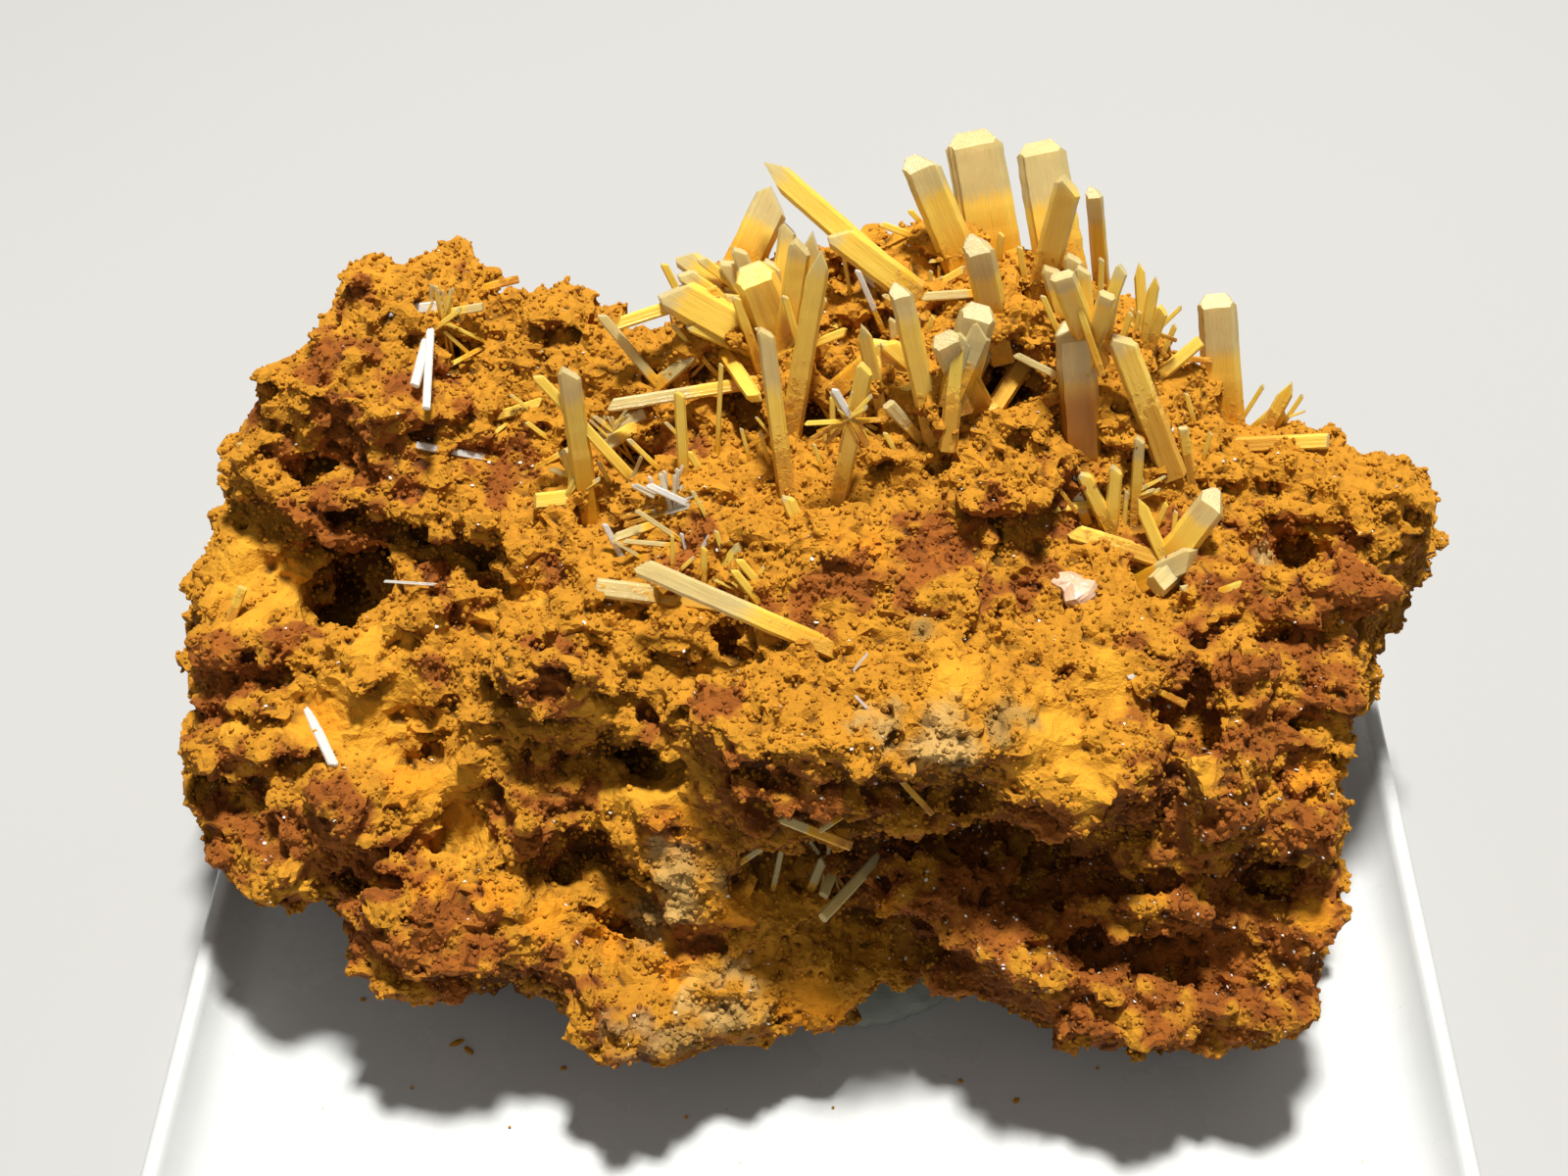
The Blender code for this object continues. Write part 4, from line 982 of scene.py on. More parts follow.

# Each crystal: tip and root in the picture, seen width, lean to the viewer in degrees, flatness,
# tip, share of its length that is clear at the tip (over 1 is white, partly white gypsum and partly
# painted glint), and how much ochre dust it carries
crystals = {
    "back_blade": [(934, 156, 980, 266, 36, 18, 0.5, "point", 0.35, 0.2)],
    "back_wide_tablet": [(991, 134, 1022, 246, 58, 10, 0.38, "blunt", 0.5, 0.1)],
    "back_clear_tablet": [(1060, 144, 1090, 256, 48, 8, 0.4, "blunt", 0.5, 0.2)],
    "back_side_blade": [(1093, 178, 1063, 292, 27, 30, 0.6, "slant", 0.1, 0.4)],
    "back_thin_blade": [(1116, 192, 1127, 300, 17, 34, 0.7, "point", 0.3, 0.3)],
    "back_front_prism": [(996, 242, 1016, 334, 29, 34, 0.7, "point", 0.4, 0.3)],
    "stubby_prism": [(797, 188, 760, 266, 38, 4, 0.6, "slant", 0.5, 0.2)],
    "sword_blade": [(838, 256, 806, 446, 21, 26, 0.6, "spear", 0.1, 0.4)],
    "long_needle": [(780, 332, 803, 506, 17, 24, 0.8, "slant", 0.35, 0.5)],
    "far_left_prism": [(626, 332, 694, 310, 13, 6, 0.8, "slant", 0.0, 0.2)],
    "far_left_needle": [(611, 319, 671, 392, 10, 18, 0.8, "slant", 0.8, 0.1)],
    "centre_prism": [(917, 290, 956, 456, 22, 27, 0.7, "point", 0.2, 0.4)],
    "centre_short_blade": [(879, 332, 900, 420, 15, 32, 0.7, "spear", 0.1, 0.3)],
    "block_prism": [(884, 362, 922, 368, 34, 0, 0.7, "flat", 0.0, 0.3)],
    "centre_blade": [(884, 369, 854, 516, 17, 30, 0.7, "slant", 0.0, 0.4)],
    "coated_prism": [(987, 458, 1036, 384, 19, 30, 0.8, "slant", 0.2, 0.9)],
    "upright_prism": [(1096, 332, 1104, 446, 38, 30, 0.7, "blunt", 0.45, -0.8)],
    "right_leaning_prism": [(1140, 337, 1184, 452, 27, 26, 0.7, "slant", 0.15, 0.6)],
    "right_cross_needle": [(1226, 347, 1182, 385, 13, 2, 0.8, "flat", 0.0, 0.3)],
    "right_tablet": [(1241, 302, 1260, 420, 39, 24, 0.45, "blunt", 0.45, 0.2)],
    "right_edge_blade": [(1318, 390, 1293, 437, 15, 24, 0.7, "spear", 0.0, 0.6)],
    "right_lying_prism": [(1356, 450, 1296, 453, 16, 12, 0.8, "flat", 0.0, 0.5)],
    "spray_right_needle": [(1163, 444, 1158, 520, 11, 28, 0.8, "slant", 0.3, 0.3)],
    "lying_clear_needle": [(617, 415, 776, 389, 13, 6, 0.8, "slant", 0.55, 0.1)],
    "grey_bar": [(659, 420, 606, 449, 14, 12, 0.7, "flat", 1.0, 0.3)],
    "thin_upright_needle": [(693, 397, 698, 490, 11, 24, 0.8, "slant", 0.0, 0.3)],
    "dusty_needle": [(556, 409, 494, 429, 10, 14, 0.8, "slant", 0.0, 0.7)],
    "white_needle": [(424, 454, 480, 464, 8, 16, 0.8, "flat", 1.2, 0.0)],
    "long_lying_blade": [(646, 575, 852, 664, 19, 13, 0.6, "slant", 0.55, 0.3)],
    "grey_lying_blade": [(606, 599, 708, 612, 19, 6, 0.6, "flat", 0.9, 0.7)],
    "front_small_prism": [(757, 554, 735, 586, 12, 22, 0.8, "slant", 0.3, 0.2)],
    "cavity_left_needle": [(840, 914, 858, 868, 11, 30, 0.8, "flat", 1.0, 0.0)],
    "cavity_right_needle": [(839, 937, 901, 870, 11, 34, 0.8, "flat", 1.0, 0.0)],
    "white_splinter": [(342, 784, 317, 731, 10, 40, 0.5, "slant", 1.2, 0.0)],
    "left_small_prism": [(248, 599, 236, 631, 10, 24, 0.8, "flat", 0.0, 0.7)],
    "pale_stub": [(801, 503, 814, 533, 14, 20, 0.8, "slant", 0.2, 0.3)],
    "grey_short_prism": [(906, 412, 930, 438, 13, 34, 0.8, "flat", 0.8, 0.5)],
    "small_upright_prism": [(1207, 436, 1214, 482, 10, 30, 0.8, "flat", 0.1, 0.7)],
    "leaning_blades": [
        (779, 165, 936, 304, 24, 4, 0.5, "spear", 0.12, 0.2),
        (845, 233, 934, 300, 29, 12, 0.5, "slant", 0.15, 0.3),
    ],
    "fan_cluster": [
        (689, 256, 778, 322, 24, 2, 0.5, "slant", 0.2, 0.1),
        (671, 291, 782, 352, 40, 14, 0.5, "slant", 0.2, 0.1),
        (767, 274, 798, 352, 42, 30, 0.6, "blunt", 0.0, 0.1),
        (805, 225, 792, 330, 18, 12, 0.7, "slant", 0.2, 0.1),
        (829, 237, 808, 348, 31, 20, 0.5, "spear", 0.2, 0.1),
    ],
    "rosette": [
        (978, 350, 971, 420, 17, 20, 0.8, "flat", 0.0, 0.5),
        (963, 343, 984, 388, 30, 40, 0.5, "blunt", 0.6, -0.1),
        (1000, 314, 981, 382, 36, 30, 0.5, "blunt", 0.6, -0.1),
    ],
    "right_cluster": [
        (1083, 280, 1108, 342, 24, 38, 0.6, "flat", 0.2, 0.2),
        (1104, 269, 1110, 336, 15, 24, 0.7, "slant", 0.2, 0.2),
        (1147, 269, 1120, 344, 13, 20, 0.7, "slant", 0.2, 0.2),
        (1130, 300, 1116, 344, 17, 34, 0.7, "flat", 0.2, 0.2),
    ],
    "right_needles": [
        (1162, 268, 1167, 346, 11, 16, 0.8, "spear", 0.0, 0.3),
        (1179, 282, 1168, 350, 11, 22, 0.8, "spear", 0.0, 0.3),
        (1188, 311, 1174, 350, 13, 28, 0.7, "slant", 0.0, 0.3),
    ],
    "right_spray": [
        (1103, 479, 1130, 534, 15, 26, 0.8, "slant", 0.1, 0.3),
        (1139, 473, 1134, 536, 14, 24, 0.8, "slant", 0.1, 0.3),
        (1081, 457, 1102, 514, 13, 28, 0.8, "slant", 1.1, 0.0),
        (1075, 519, 1118, 513, 10, 22, 0.8, "flat", 0.0, 0.3),
    ],
    "glassy_knot": [
        (1246, 503, 1194, 570, 31, 22, 0.6, "point", 0.4, 0.0),
        (1161, 509, 1190, 576, 13, 20, 0.8, "spear", 0.0, 0.4),
        (1225, 566, 1182, 586, 26, 26, 0.8, "slant", 0.9, 0.0),
        (1178, 600, 1208, 572, 24, 34, 0.8, "flat", 0.9, 0.1),
        (1088, 541, 1182, 570, 18, 12, 0.6, "slant", 0.0, 0.8),
    ],
    "clear_tipped_needles": [
        (579, 372, 599, 512, 22, 30, 0.6, "slant", 0.25, 0.1),
        (545, 512, 600, 506, 17, 14, 0.7, "flat", 0.0, 0.4),
        (545, 381, 667, 512, 11, 20, 0.8, "slant", 0.0, 0.2),
    ],
    "white_spray": [
        (397, 318, 444, 313, 11, 30, 0.5, "flat", 1.2, 0.0),
        (423, 394, 441, 326, 10, 42, 0.6, "flat", 1.2, 0.0),
        (435, 417, 440, 322, 8, 52, 0.6, "flat", 1.2, 0.0),
        (493, 313, 438, 323, 9, 24, 0.6, "flat", 0.3, 0.1),
    ],
}


def tipPlace(root, px, py, lean):
    line = sight(px, py)
    facing = (root - eye).normalized()
    level = eye + line * ((root - eye).dot(facing) / line.dot(facing))
    return level - line * math.tan(math.radians(lean)) * (level - root).length


def crystalFrame(root, tip):
    along = (tip - root).normalized()
    across = along.cross((eye - root).normalized()).normalized()
    return Matrix((across, along.cross(across), along)).transposed()


def outlinePoints(perSide, chance):  # flattened hexagon with fine grooves, as (x, y) of half size 1
    corners = [(1.0, 0.0), (0.7, 1.0), (-0.7, 1.0), (-1.0, 0.0), (-0.7, -1.0), (0.7, -1.0)]
    points = []
    for corner, after in zip(corners, corners[1:] + corners[:1]):
        for step in range(perSide):
            share = step / perSide
            groove = 1.0
            if step:
                groove -= chance.uniform(0.0, crystalSettings["grooves"])
            x = corner[0] + (after[0] - corner[0]) * share
            y = corner[1] + (after[1] - corner[1]) * share
            points.append((x * groove, y * groove))
    return points


def cutTip(bm, point, normal):
    geom = [*bm.verts, *bm.edges, *bm.faces]
    bmesh.ops.bisect_plane(bm, geom=geom, plane_co=point, plane_no=normal, clear_outer=True)
    rim = [edge for edge in bm.edges if edge.is_boundary]
    if rim:
        bmesh.ops.edgeloop_fill(bm, edges=rim)


def addCrystal(whole, row, root, seed, perSide):  # adds one striated prism with its tip to a mesh
    px, py, _, _, seenWidth, lean, flatness, tipKind, clear, dust = row
    look = crystalSettings
    chance = random.Random(seed)
    tip = tipPlace(root, px, py, lean)
    length = (tip - root).length
    width = seenWidth * pxSize
    wholeLength = length + look["bury"]
    bm = bmesh.new()
    points = outlinePoints(perSide, chance)
    rings = []
    steps = max(3, int(wholeLength / look["ringEvery"]))
    wander = [Vector((chance.uniform(-1, 1), chance.uniform(-1, 1))) for _ in range(steps + 1)]
    for step in range(steps + 1):
        share = step / steps
        swell = 1.0 + (look["taper"] * (1.0 - share) - look["narrower"])
        swell += chance.uniform(-0.5, 0.5) * look["drift"]
        shift = wander[step] * look["drift"] * look["wander"]
        rings.append([
            bm.verts.new((
                (x * swell + shift.x) * width / 2.0,
                (y * swell * look["hexagon"] * flatness + shift.y * flatness) * width / 2.0,
                -look["bury"] + wholeLength * share,
            ))
            for x, y in points
        ])
    skinRings(bm, rings)
    for start, below, tilt, over in tipCuts[tipKind]:
        normal = Matrix.Rotation(math.radians(tilt), 3, "Y") @ Vector((0.0, 0.0, 1.0))
        normal = Matrix.Rotation(math.radians(over), 3, "X") @ normal
        cutTip(bm, Vector((start * width / 2.0, 0.0, length - below * width)), normal)
    layers = {name: bm.verts.layers.float.new(name) for name in ("along", "clear", "dust")}
    across = bm.verts.layers.float_vector.new("across")
    for vert in bm.verts:
        vert[layers["along"]] = vert.co.z / length
        vert[layers["clear"]] = clear
        vert[layers["dust"]] = dust
        stripe = vert.co / mm
        vert[across] = (stripe.x + seed * look["stripesApart"], stripe.y, stripe.z * look["stripeStretch"])
    place = Matrix.Translation(root) @ crystalFrame(root, tip).to_4x4()
    bmesh.ops.transform(bm, matrix=place, verts=bm.verts)
    bmesh.ops.recalc_face_normals(bm, faces=bm.faces)
    mesh = bpy.data.meshes.new("one")
    bm.to_mesh(mesh)
    bm.free()
    whole.from_mesh(mesh)
    bpy.data.meshes.remove(mesh)

# Noises as scale, detail and roughness. Colours are linear, in pairs where noise mixes them
gypsumFinish = {
    "stripe": (9.0, 4.0, 0.7),
    "cloud": (700.0, 4.0, 0.6),
    "crumbs": (2600.0, 3.0, 0.6),
    "honey": ((0.88, 0.50, 0.04), (0.97, 0.70, 0.135)),
    "root": (0.80, 0.38, 0.022),
    "pale": ((0.76, 0.575, 0.21), (0.88, 0.725, 0.35)),
    "white": (0.96, 0.93, 0.82),
    "brown": (0.50, 0.20, 0.015),
    "dust": (0.62, 0.32, 0.03),
    "index": 1.52,
    "scattering": 0.35,
    "scatterColour": (1.0, 0.85, 0.5),
    "scatterDepth": 0.8 * mm,
    "relief": (0.45, 0.0001),
}


def makeGypsumMaterial():
    look = gypsumFinish
    material, tree, shader = newMaterial("honey gypsum")
    along, clear, dust = [attributeOf(tree, name) for name in ("along", "clear", "dust")]
    place = placeOf(tree)
    stripe = noiseOf(tree, attributeOf(tree, "across", "Vector"), *look["stripe"])
    cloud = noiseOf(tree, place, *look["cloud"])
    crumbs = noiseOf(tree, place, *look["crumbs"])
    # Clear towards the tip, with an uneven edge
    reach = minus(tree, along, minus(tree, 1.0, clear))
    reach = plus(tree, reach, times(tree, minus(tree, stripe, 0.5), 0.25))
    glassy = spread(tree, reach, -0.07, 0.07)
    honey = mix(tree, stripe, *look["honey"])
    honey = mix(tree, spread(tree, along, 0.0, 0.45), look["root"], honey)
    pale = mix(tree, stripe, *look["pale"])
    # Over a clear share of 1.05 the crystal turns white: partly white gypsum, partly painted glint
    pale = mix(tree, spread(tree, clear, 1.05, 1.15), pale, look["white"])
    colour = mix(tree, glassy, honey, pale)
    brown = spread(tree, plus(tree, dust, times(tree, along, 0.8)), -0.25, -0.55)
    colour = mix(tree, brown, colour, look["brown"])
    # Ochre dust, most of it near the root
    low = spread(tree, along, 0.75, -0.05)
    dusty = plus(tree, times(tree, low, 0.35), times(tree, dust, 0.55))
    dusty = spread(tree, plus(tree, dusty, times(tree, crumbs, 0.8)), 0.82, 0.98)
    colour = mix(tree, dusty, colour, look["dust"])
    passing = plus(tree, times(tree, glassy, 0.3), 0.08)
    passing = times(tree, passing, minus(tree, 1.0, dusty))
    passing = times(tree, passing, spread(tree, cloud, 0.2, 0.7, 0.6, 1.0))
    setShader(tree, shader, {
        "Base Color": colour,
        "Transmission Weight": passing,
        "IOR": look["index"],
        "Subsurface Weight": look["scattering"],
        "Subsurface Radius": look["scatterColour"],
        "Subsurface Scale": look["scatterDepth"],
        "Roughness": spread(tree, dusty, 0.0, 1.0, 0.24, 0.9),
    })
    bump(tree, shader, plus(tree, stripe, times(tree, dusty, 0.7)), *look["relief"])
    return material


gypsumMaterial = makeGypsumMaterial()


def makeCrystals():
    triangles = 0
    for seed, (name, rows) in enumerate(crystals.items()):
        whole = bmesh.new()
        depth = None
        for index, row in enumerate(rows):
            line = sight(row[2], row[3])
            if depth is None:
                root = hit(stoneTree, row[2], row[3])
                depth = (root - eye).dot(ahead)
            else:
                root = eye + line * (depth / line.dot(ahead))
            addCrystal(whole, row, root, seed * 10 + index, crystalSettings["perSide"])
        bmesh.ops.triangulate(whole, faces=whole.faces)
        triangles += len(whole.faces)
        piece = addObject(f"{name}_gypsum", whole, gypsumMaterial)
        standFor(piece, "gypsum", name)
    stageDone("crystals", triangles)


makeCrystals()

# Small crystals: tip and root in the picture, seen width, and the share that is clear (over 1
# is white, partly white gypsum and partly painted glint), with the lean where it isn't the usual one
smallCrystals = [
    (1022, 236, 1019, 267, 7, 0.0), (897, 228, 930, 240, 7, 0.0), (927, 213, 940, 220, 6, 0.0),
    (947, 267, 964, 265, 4, 0.2), (958, 270, 958, 284, 3, 0.2), (987, 273, 944, 297, 8, 0.1),
    (939, 303, 987, 300, 9, 1.0), (676, 267, 687, 273, 8, 0.0), (866, 337, 828, 352, 9, 0.0),
    (860, 335, 834, 324, 7, 0.0), (713, 355, 677, 387, 15, 0.9), (874, 274, 889, 309, 6, 1.2),
    (878, 277, 892, 289, 8, 1.2), (861, 263, 868, 301, 4, 0.0), (910, 323, 912, 344, 8, 1.0),
    (1034, 361, 1080, 384, 7, 0.9), (953, 321, 947, 340, 6, 0.0), (850, 395, 865, 421, 7, 1.2),
    (820, 432, 862, 430, 5, 0.0), (849, 404, 850, 453, 6, 0.0), (841, 438, 843, 456, 4, 0.0),
    (945, 384, 899, 413, 8, 0.0), (882, 432, 895, 438, 5, 0.0), (925, 467, 954, 476, 4, 0.6),
    (1176, 364, 1208, 358, 6, 0.0), (1135, 464, 1175, 467, 7, 0.0), (1191, 512, 1181, 536, 6, 0.0),
    (1270, 595, 1250, 602, 8, 0.0), (1205, 596, 1216, 606, 9, 0.9), (616, 456, 649, 435, 14, 0.4),
    (701, 459, 716, 482, 7, 0.0), (736, 370, 732, 461, 5, 0.0), (773, 410, 742, 364, 15, 0.0, 46),
    (659, 494, 701, 514, 7, 1.2), (662, 485, 667, 496, 4, 1.2), (701, 514, 673, 520, 4, 1.2),
    (679, 505, 695, 504, 4, 1.2), (470, 300, 493, 294, 8, 0.0), (440, 289, 440, 309, 4, 0.8),
    (452, 337, 473, 356, 4, 0.0), (455, 330, 492, 347, 4, 0.0), (447, 379, 475, 364, 5, 0.0),
    (391, 593, 436, 596, 3, 1.2), (242, 452, 257, 457, 4, 0.8), (686, 545, 686, 578, 4, 0.0),
    (719, 557, 718, 586, 7, 0.0), (709, 568, 693, 583, 4, 0.2), (625, 551, 654, 569, 4, 0.8),
    (752, 569, 776, 598, 8, 0.0), (747, 580, 773, 613, 8, 0.0), (560, 542, 590, 527, 6, 1.2),
    (616, 533, 632, 564, 6, 1.2), (624, 550, 667, 535, 9, 0.7), (635, 552, 682, 556, 5, 0.9),
    (695, 543, 699, 558, 4, 1.2), (724, 546, 718, 557, 4, 1.2), (841, 874, 829, 903, 10, 0.9),
    (794, 834, 830, 848, 10, 0.8), (835, 849, 852, 838, 5, 0.8), (800, 855, 789, 906, 6, 0.9),
    (798, 852, 760, 877, 6, 0.9), (1150, 688, 1173, 700, 7, 1.2), (886, 666, 873, 682, 3, 1.2),
    (872, 709, 883, 721, 3, 1.2), (899, 774, 924, 801, 6, 0.9), (593, 452, 560, 470, 6, 0.3),
    (640, 447, 672, 478, 5, 0.2), (575, 463, 603, 440, 5, 0.4), (655, 465, 640, 500, 4, 0.9),
    (678, 430, 700, 452, 4, 0.3), (610, 470, 628, 505, 5, 0.2), (560, 478, 590, 488, 6, 0.5),
    (648, 520, 690, 548, 5, 0.9), (706, 500, 722, 530, 4, 0.2), (730, 540, 738, 566, 5, 0.1),
    (800, 300, 815, 352, 7, 0.1), (750, 300, 765, 345, 10, 0.1), (712, 262, 762, 300, 10, 0.2),
    (842, 300, 822, 356, 9, 0.1), (790, 318, 792, 352, 8, 0.2), (700, 330, 752, 352, 14, 0.1),
    (900, 300, 930, 318, 5, 0.2), (1010, 262, 1004, 300, 6, 0.2), (1040, 250, 1046, 288, 6, 0.1),
    (1140, 300, 1132, 340, 6, 0.1), (1155, 318, 1142, 352, 6, 0.1), (1096, 300, 1112, 346, 7, 0.1),
    (1200, 330, 1186, 362, 6, 0.1), (1124, 262, 1122, 330, 6, 0.1), (1063, 300, 1080, 340, 6, 0.1),
    (1210, 400, 1218, 430, 5, 0.1), (1330, 402, 1318, 428, 5, 0.1), (1236, 440, 1228, 468, 5, 0.1),
    (1120, 520, 1126, 548, 5, 0.1), (1150, 500, 1146, 545, 5, 0.2), (1200, 520, 1196, 556, 5, 0.1),
    (870, 420, 884, 448, 5, 0.1), (902, 440, 914, 462, 5, 0.1), (830, 452, 838, 476, 4, 0.1),
    (776, 440, 784, 470, 4, 0.2), (756, 436, 764, 466, 4, 0.1), (820, 380, 838, 412, 5, 0.2),
    (536, 430, 560, 448, 5, 0.1), (500, 446, 520, 430, 4, 0.1), (520, 402, 548, 424, 4, 0.1),
    (706, 302, 782, 346, 26, 0.2), (738, 262, 784, 334, 22, 0.3), (742, 292, 790, 352, 26, 0.1),
    (818, 242, 802, 344, 22, 0.2), (692, 276, 774, 332, 18, 0.2), (786, 262, 796, 340, 20, 0.3),
    (752, 250, 776, 322, 16, 0.6), (1006, 326, 986, 372, 24, 0.95), (986, 336, 976, 376, 20, 0.95),
    (1010, 346, 994, 380, 18, 0.8), (964, 352, 974, 384, 16, 0.95), (908, 352, 880, 376, 22, 0.2),
    (900, 346, 930, 372, 18, 0.1), (1070, 268, 1088, 330, 20, 0.4), (1094, 256, 1100, 320, 18, 0.3),
    (1290, 392, 1282, 424, 5, 0.1), (1180, 452, 1184, 480, 5, 0.1), (1060, 470, 1076, 492, 4, 0.8),
]


smallSettings = {
    "firstSeed": 900,
    "perSide": 2,
    "flatness": 0.75,
    "tip": "slant",
    "dust": 0.15,
    "lean": 24.0,
    "leanFalling": 18.0,
    "leanLevel": 12.0,
}


def usualLean(px, py, rootX, rootY):  # crystals that rise in the picture lean less than those that fall
    rise = (rootY - py) / max(1.0, math.hypot(px - rootX, py - rootY))
    lean = smallSettings["lean"] - smallSettings["leanFalling"] * min(0.0, rise)
    return lean - smallSettings["leanLevel"] * (1.0 - abs(rise))


# Sprays of fine needles: picture point of the roots, count, reach, and the share that is clear (over 1 is
# white, partly painted glint)
sprays = [
    (688, 514, 14, 36, 1.1), (625, 452, 9, 36, 0.3), (800, 440, 7, 30, 0.1), (862, 424, 8, 28, 0.2),
    (446, 328, 8, 34, 0.2), (1172, 338, 9, 38, 0.1), (1152, 504, 7, 32, 0.2), (762, 598, 5, 26, 0.1),
    (944, 300, 6, 26, 0.1), (1098, 326, 7, 34, 0.1), (722, 356, 8, 40, 0.2), (790, 350, 7, 46, 0.3),
    (585, 500, 7, 40, 0.2), (842, 880, 4, 30, 0.9), (1190, 575, 5, 28, 0.2), (1300, 432, 4, 26, 0.1),
]
spraySettings = {
    "seed": 11,
    "across": (-0.4, 0.4),
    "down": (-0.2, 0.25),
    "fan": (-75.0, 75.0),
    "length": (0.5, 1.15),
    "width": (2.5, 5.5),
}


def sprayRows():
    chance = random.Random(spraySettings["seed"])
    for px, py, count, reach, clear in sprays:
        for _ in range(count):
            rootX = px + chance.uniform(*spraySettings["across"]) * reach
            rootY = py + chance.uniform(*spraySettings["down"]) * reach
            turn = math.radians(chance.uniform(*spraySettings["fan"]))
            length = reach * chance.uniform(*spraySettings["length"])
            tip = (rootX + math.sin(turn) * length, rootY - math.cos(turn) * length)
            yield (*tip, rootX, rootY, chance.uniform(*spraySettings["width"]), clear)


def makeSmallCrystals():
    flatness, tipKind, dust = [smallSettings[name] for name in ("flatness", "tip", "dust")]
    whole = bmesh.new()
    for seed, row in enumerate([*smallCrystals, *sprayRows()], smallSettings["firstSeed"]):
        px, py, rootX, rootY, width, clear = row[:6]
        lean = row[6] if len(row) > 6 else usualLean(px, py, rootX, rootY)
        root = hit(stoneTree, rootX, rootY)
        full = (px, py, rootX, rootY, width, lean, flatness, tipKind, clear, dust)
        addCrystal(whole, full, root, seed, smallSettings["perSide"])
    bmesh.ops.triangulate(whole, faces=whole.faces)
    stageDone("small crystals", len(whole.faces))
    piece = addObject("small_gypsum", whole, gypsumMaterial)
    standFor(piece, "gypsum")


makeSmallCrystals()

# Crumbs: loose grains of the stone in four pieces, more of them where it is rough
crumbSettings = {
    "pieces": 4,
    "each": 9200,
    "tries": 3,
    "firstSeed": 40,
    "size": (0.055, 0.17),
    "fewLarge": 2.0,
    "stretch": (0.6, 1.3),
    "rise": 0.35,
    "hidden": (0.0, 0.0, 0.0, 0.4),
    "unseen": 0.25,
    "powder": 0.92,
}


def facingOf(place, normal):  # how much a face of the stone is turned to the camera
    return max(0.0, normal.dot((eye - place).normalized()))


def crumbShare(place, normal, smooth):
    least = crumbSettings["unseen"]
    seen = least + (1.0 - least) * facingOf(place, normal)
    return seen * (1.0 - crumbSettings["powder"] * smooth)


def makeCrumbs():
    each = crumbSettings["each"]
    for number in range(crumbSettings["pieces"]):
        seed = crumbSettings["firstSeed"] + number
        spots, chance = scatter(stone.data, each * crumbSettings["tries"], seed, crumbShare)
        balls = []
        for place, normal in spots[:each]:
            size = drawSize(chance, crumbSettings)
            half = [size * chance.uniform(*crumbSettings["stretch"]) for _ in range(3)]
            turn = Matrix.Rotation(chance.uniform(0.0, fullTurn), 3, normal)
            balls.append((place + normal * size * crumbSettings["rise"], half, turn))
        mesh = ballMesh(balls)
        count = len(mesh.vertices)
        # One crumb in four gets a little painted shade through the hidden layer
        hidden = [chance.choice(crumbSettings["hidden"]) for _ in balls]
        storeLayers(mesh, np.zeros(count), np.repeat(hidden, count // len(balls)))
        addLoose(f"crumbs_{number + 1}", mesh, stoneMaterial, "stone")
        stageDone("crumbs", len(mesh.polygons))


makeCrumbs()

# Sparkles: tiny clear plates in the stone
sparkleSettings = {
    "count": 700,
    "tries": 9,
    "seed": 77,
    "size": (0.05, 0.13),
    "fewLarge": 2.0,
    "shape": (1.0, 0.8, 0.35),
    "rise": 0.5,
    "darkSide": (0.002, 0.02),
    "elsewhere": 0.3,
    "colours": ((0.80, 0.74, 0.62), (0.97, 0.97, 0.95)),
    "coat": 0.6,
}


def sparkleShare(place, normal, smooth):  # most sparkles sit in the darker stone at the lower right
    left, top = sparkleSettings["darkSide"]
    lower = 1.0 if place.x > left and place.z < top else sparkleSettings["elsewhere"]
    return facingOf(place, normal) * lower * (1.0 - smooth)


def makeSparkles():
    material, tree, shader = newMaterial("clear sparkle")
    tint = noiseOf(tree, placeOf(tree), 900.0, 2.0, 0.5)
    setShader(tree, shader, {
        "Base Color": mix(tree, tint, *sparkleSettings["colours"]),
        "Roughness": spread(tree, tint, 0.3, 0.7, 0.05, 0.16),
        "IOR": gypsumFinish["index"],
        "Coat Weight": sparkleSettings["coat"],
    })
    count = sparkleSettings["count"]
    tried = count * sparkleSettings["tries"]
    spots, chance = scatter(stone.data, tried, sparkleSettings["seed"], sparkleShare)
    balls = []
    for place, normal in spots[:count]:
        size = drawSize(chance, sparkleSettings)
        angle = chance.uniform(0.0, fullTurn)
        turn = Matrix.Rotation(angle, 3, Vector((chance.random(), chance.random(), 1.0)))
        half = [size * share for share in sparkleSettings["shape"]]
        balls.append((place + normal * size * sparkleSettings["rise"], half, turn))
    addLoose("sparkles", ballMesh(balls), material, "gypsum")


makeSparkles()

# Pale crust
crustSettings = {
    "mottle": (1500.0, 4.0, 0.6),
    "colours": ((0.50, 0.27, 0.13), (0.76, 0.58, 0.43)),
    "roughness": 0.35,
    "relief": (0.5, 0.0001),
    "swell": 0.15,
    "swellSize": 0.4 * mm,
}


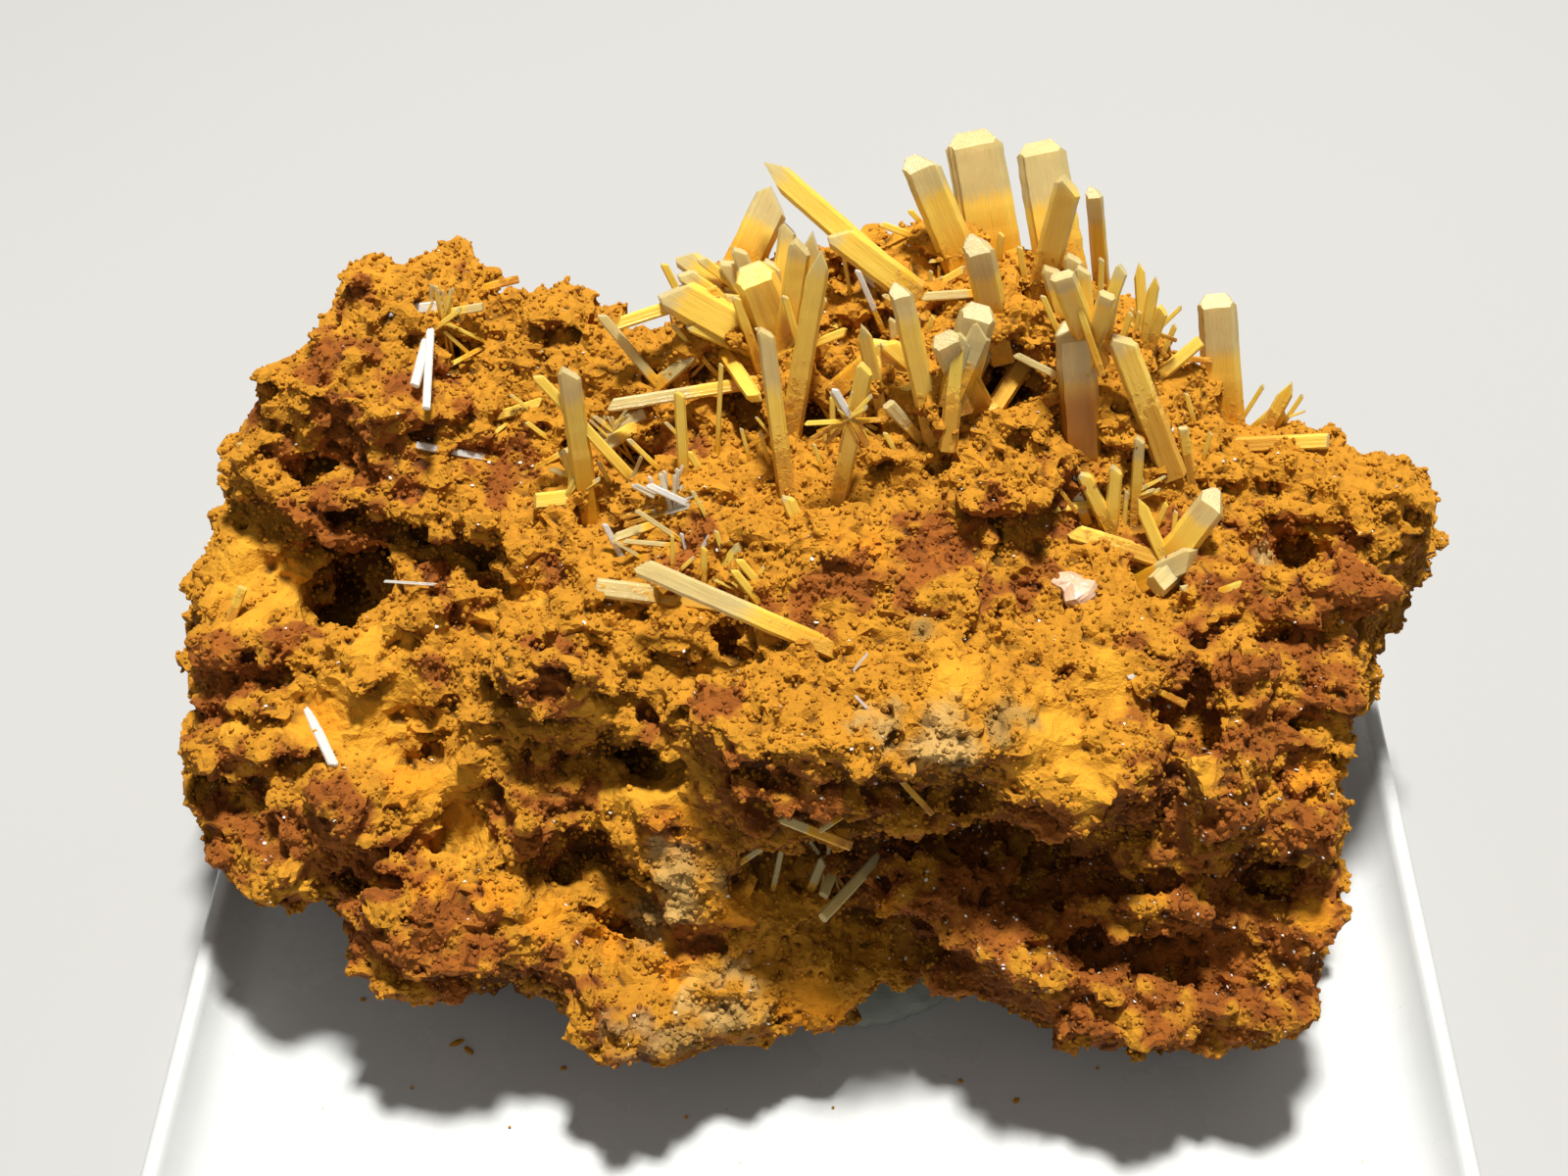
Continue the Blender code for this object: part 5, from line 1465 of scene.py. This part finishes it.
def makeCrust():
    swell = crustSettings["swell"]
    bm = mergedCopy(frame["nodes"]["pale_crust"].data)
    bmesh.ops.subdivide_edges(bm, edges=bm.edges, cuts=1, use_grid_fill=True)
    bm.normal_update()
    for vert in bm.verts:
        uneven = noise.noise(vert.co / crustSettings["swellSize"]) * swell
        vert.co += vert.normal * (swell + uneven) * mm
    crust = addObject("crust", bm, mottledMaterial("pale pink crust", crustSettings))
    standFor(crust, "pale_gypsum", "pale_crust")


makeCrust()

# Floor, light and camera
floorSettings = {
    "mottle": (8.0, 2.0, 0.5),
    "colours": ((0.40, 0.40, 0.395), (0.44, 0.44, 0.435)),
    "roughness": 0.8,
    "size": 2.0,
}
lights = {
    "key": {"power": 3.0, "size": 0.045, "place": (0.015, 0.055, 0.42), "tint": (1.0, 0.98, 0.94)},
    "front fill": {"power": 0.18, "size": 0.3, "place": (-0.1, -0.35, 0.30), "tint": (1.0, 0.97, 0.92)},
}
room = {"aim": (0.0, 0.0, 0.015), "tint": (1.0, 0.96, 0.90, 1.0), "strength": 0.2}


def makeStage():
    bm = bmesh.new()
    bmesh.ops.create_grid(bm, x_segments=1, y_segments=1, size=floorSettings["size"])
    addObject("floor", bm, mottledMaterial("pale floor", floorSettings))


def makeLight():
    for name, values in lights.items():
        light = bpy.data.lights.new(name, "AREA")
        light.energy = values["power"]
        light.size = values["size"]
        light.color = values["tint"]
        lamp = linkObject(name, light)
        place = Vector(values["place"])
        lamp.location = place
        lamp.rotation_euler = (Vector(room["aim"]) - place).to_track_quat("-Z", "Y").to_euler()
    world = bpy.data.worlds.new("soft room")
    bpy.context.scene.world = world
    world.use_nodes = True
    background = world.node_tree.nodes["Background"]
    background.inputs["Color"].default_value = room["tint"]
    background.inputs["Strength"].default_value = room["strength"]


def makeCamera():
    camera = bpy.data.cameras.new("camera")
    camera.lens = view["lens"]
    camera.sensor_width = view["sensor"]
    camera.clip_start, camera.clip_end = view["clip"]
    camera.dof.use_dof = False
    seer = linkObject("camera", camera)
    seer.location = eye
    seer.rotation_euler = (math.radians(90.0) - view["dip"], 0.0, view["turn"])
    bpy.context.scene.camera = seer
    bpy.context.scene.view_settings.view_transform = "Standard"


makeStage()
makeLight()
makeCamera()
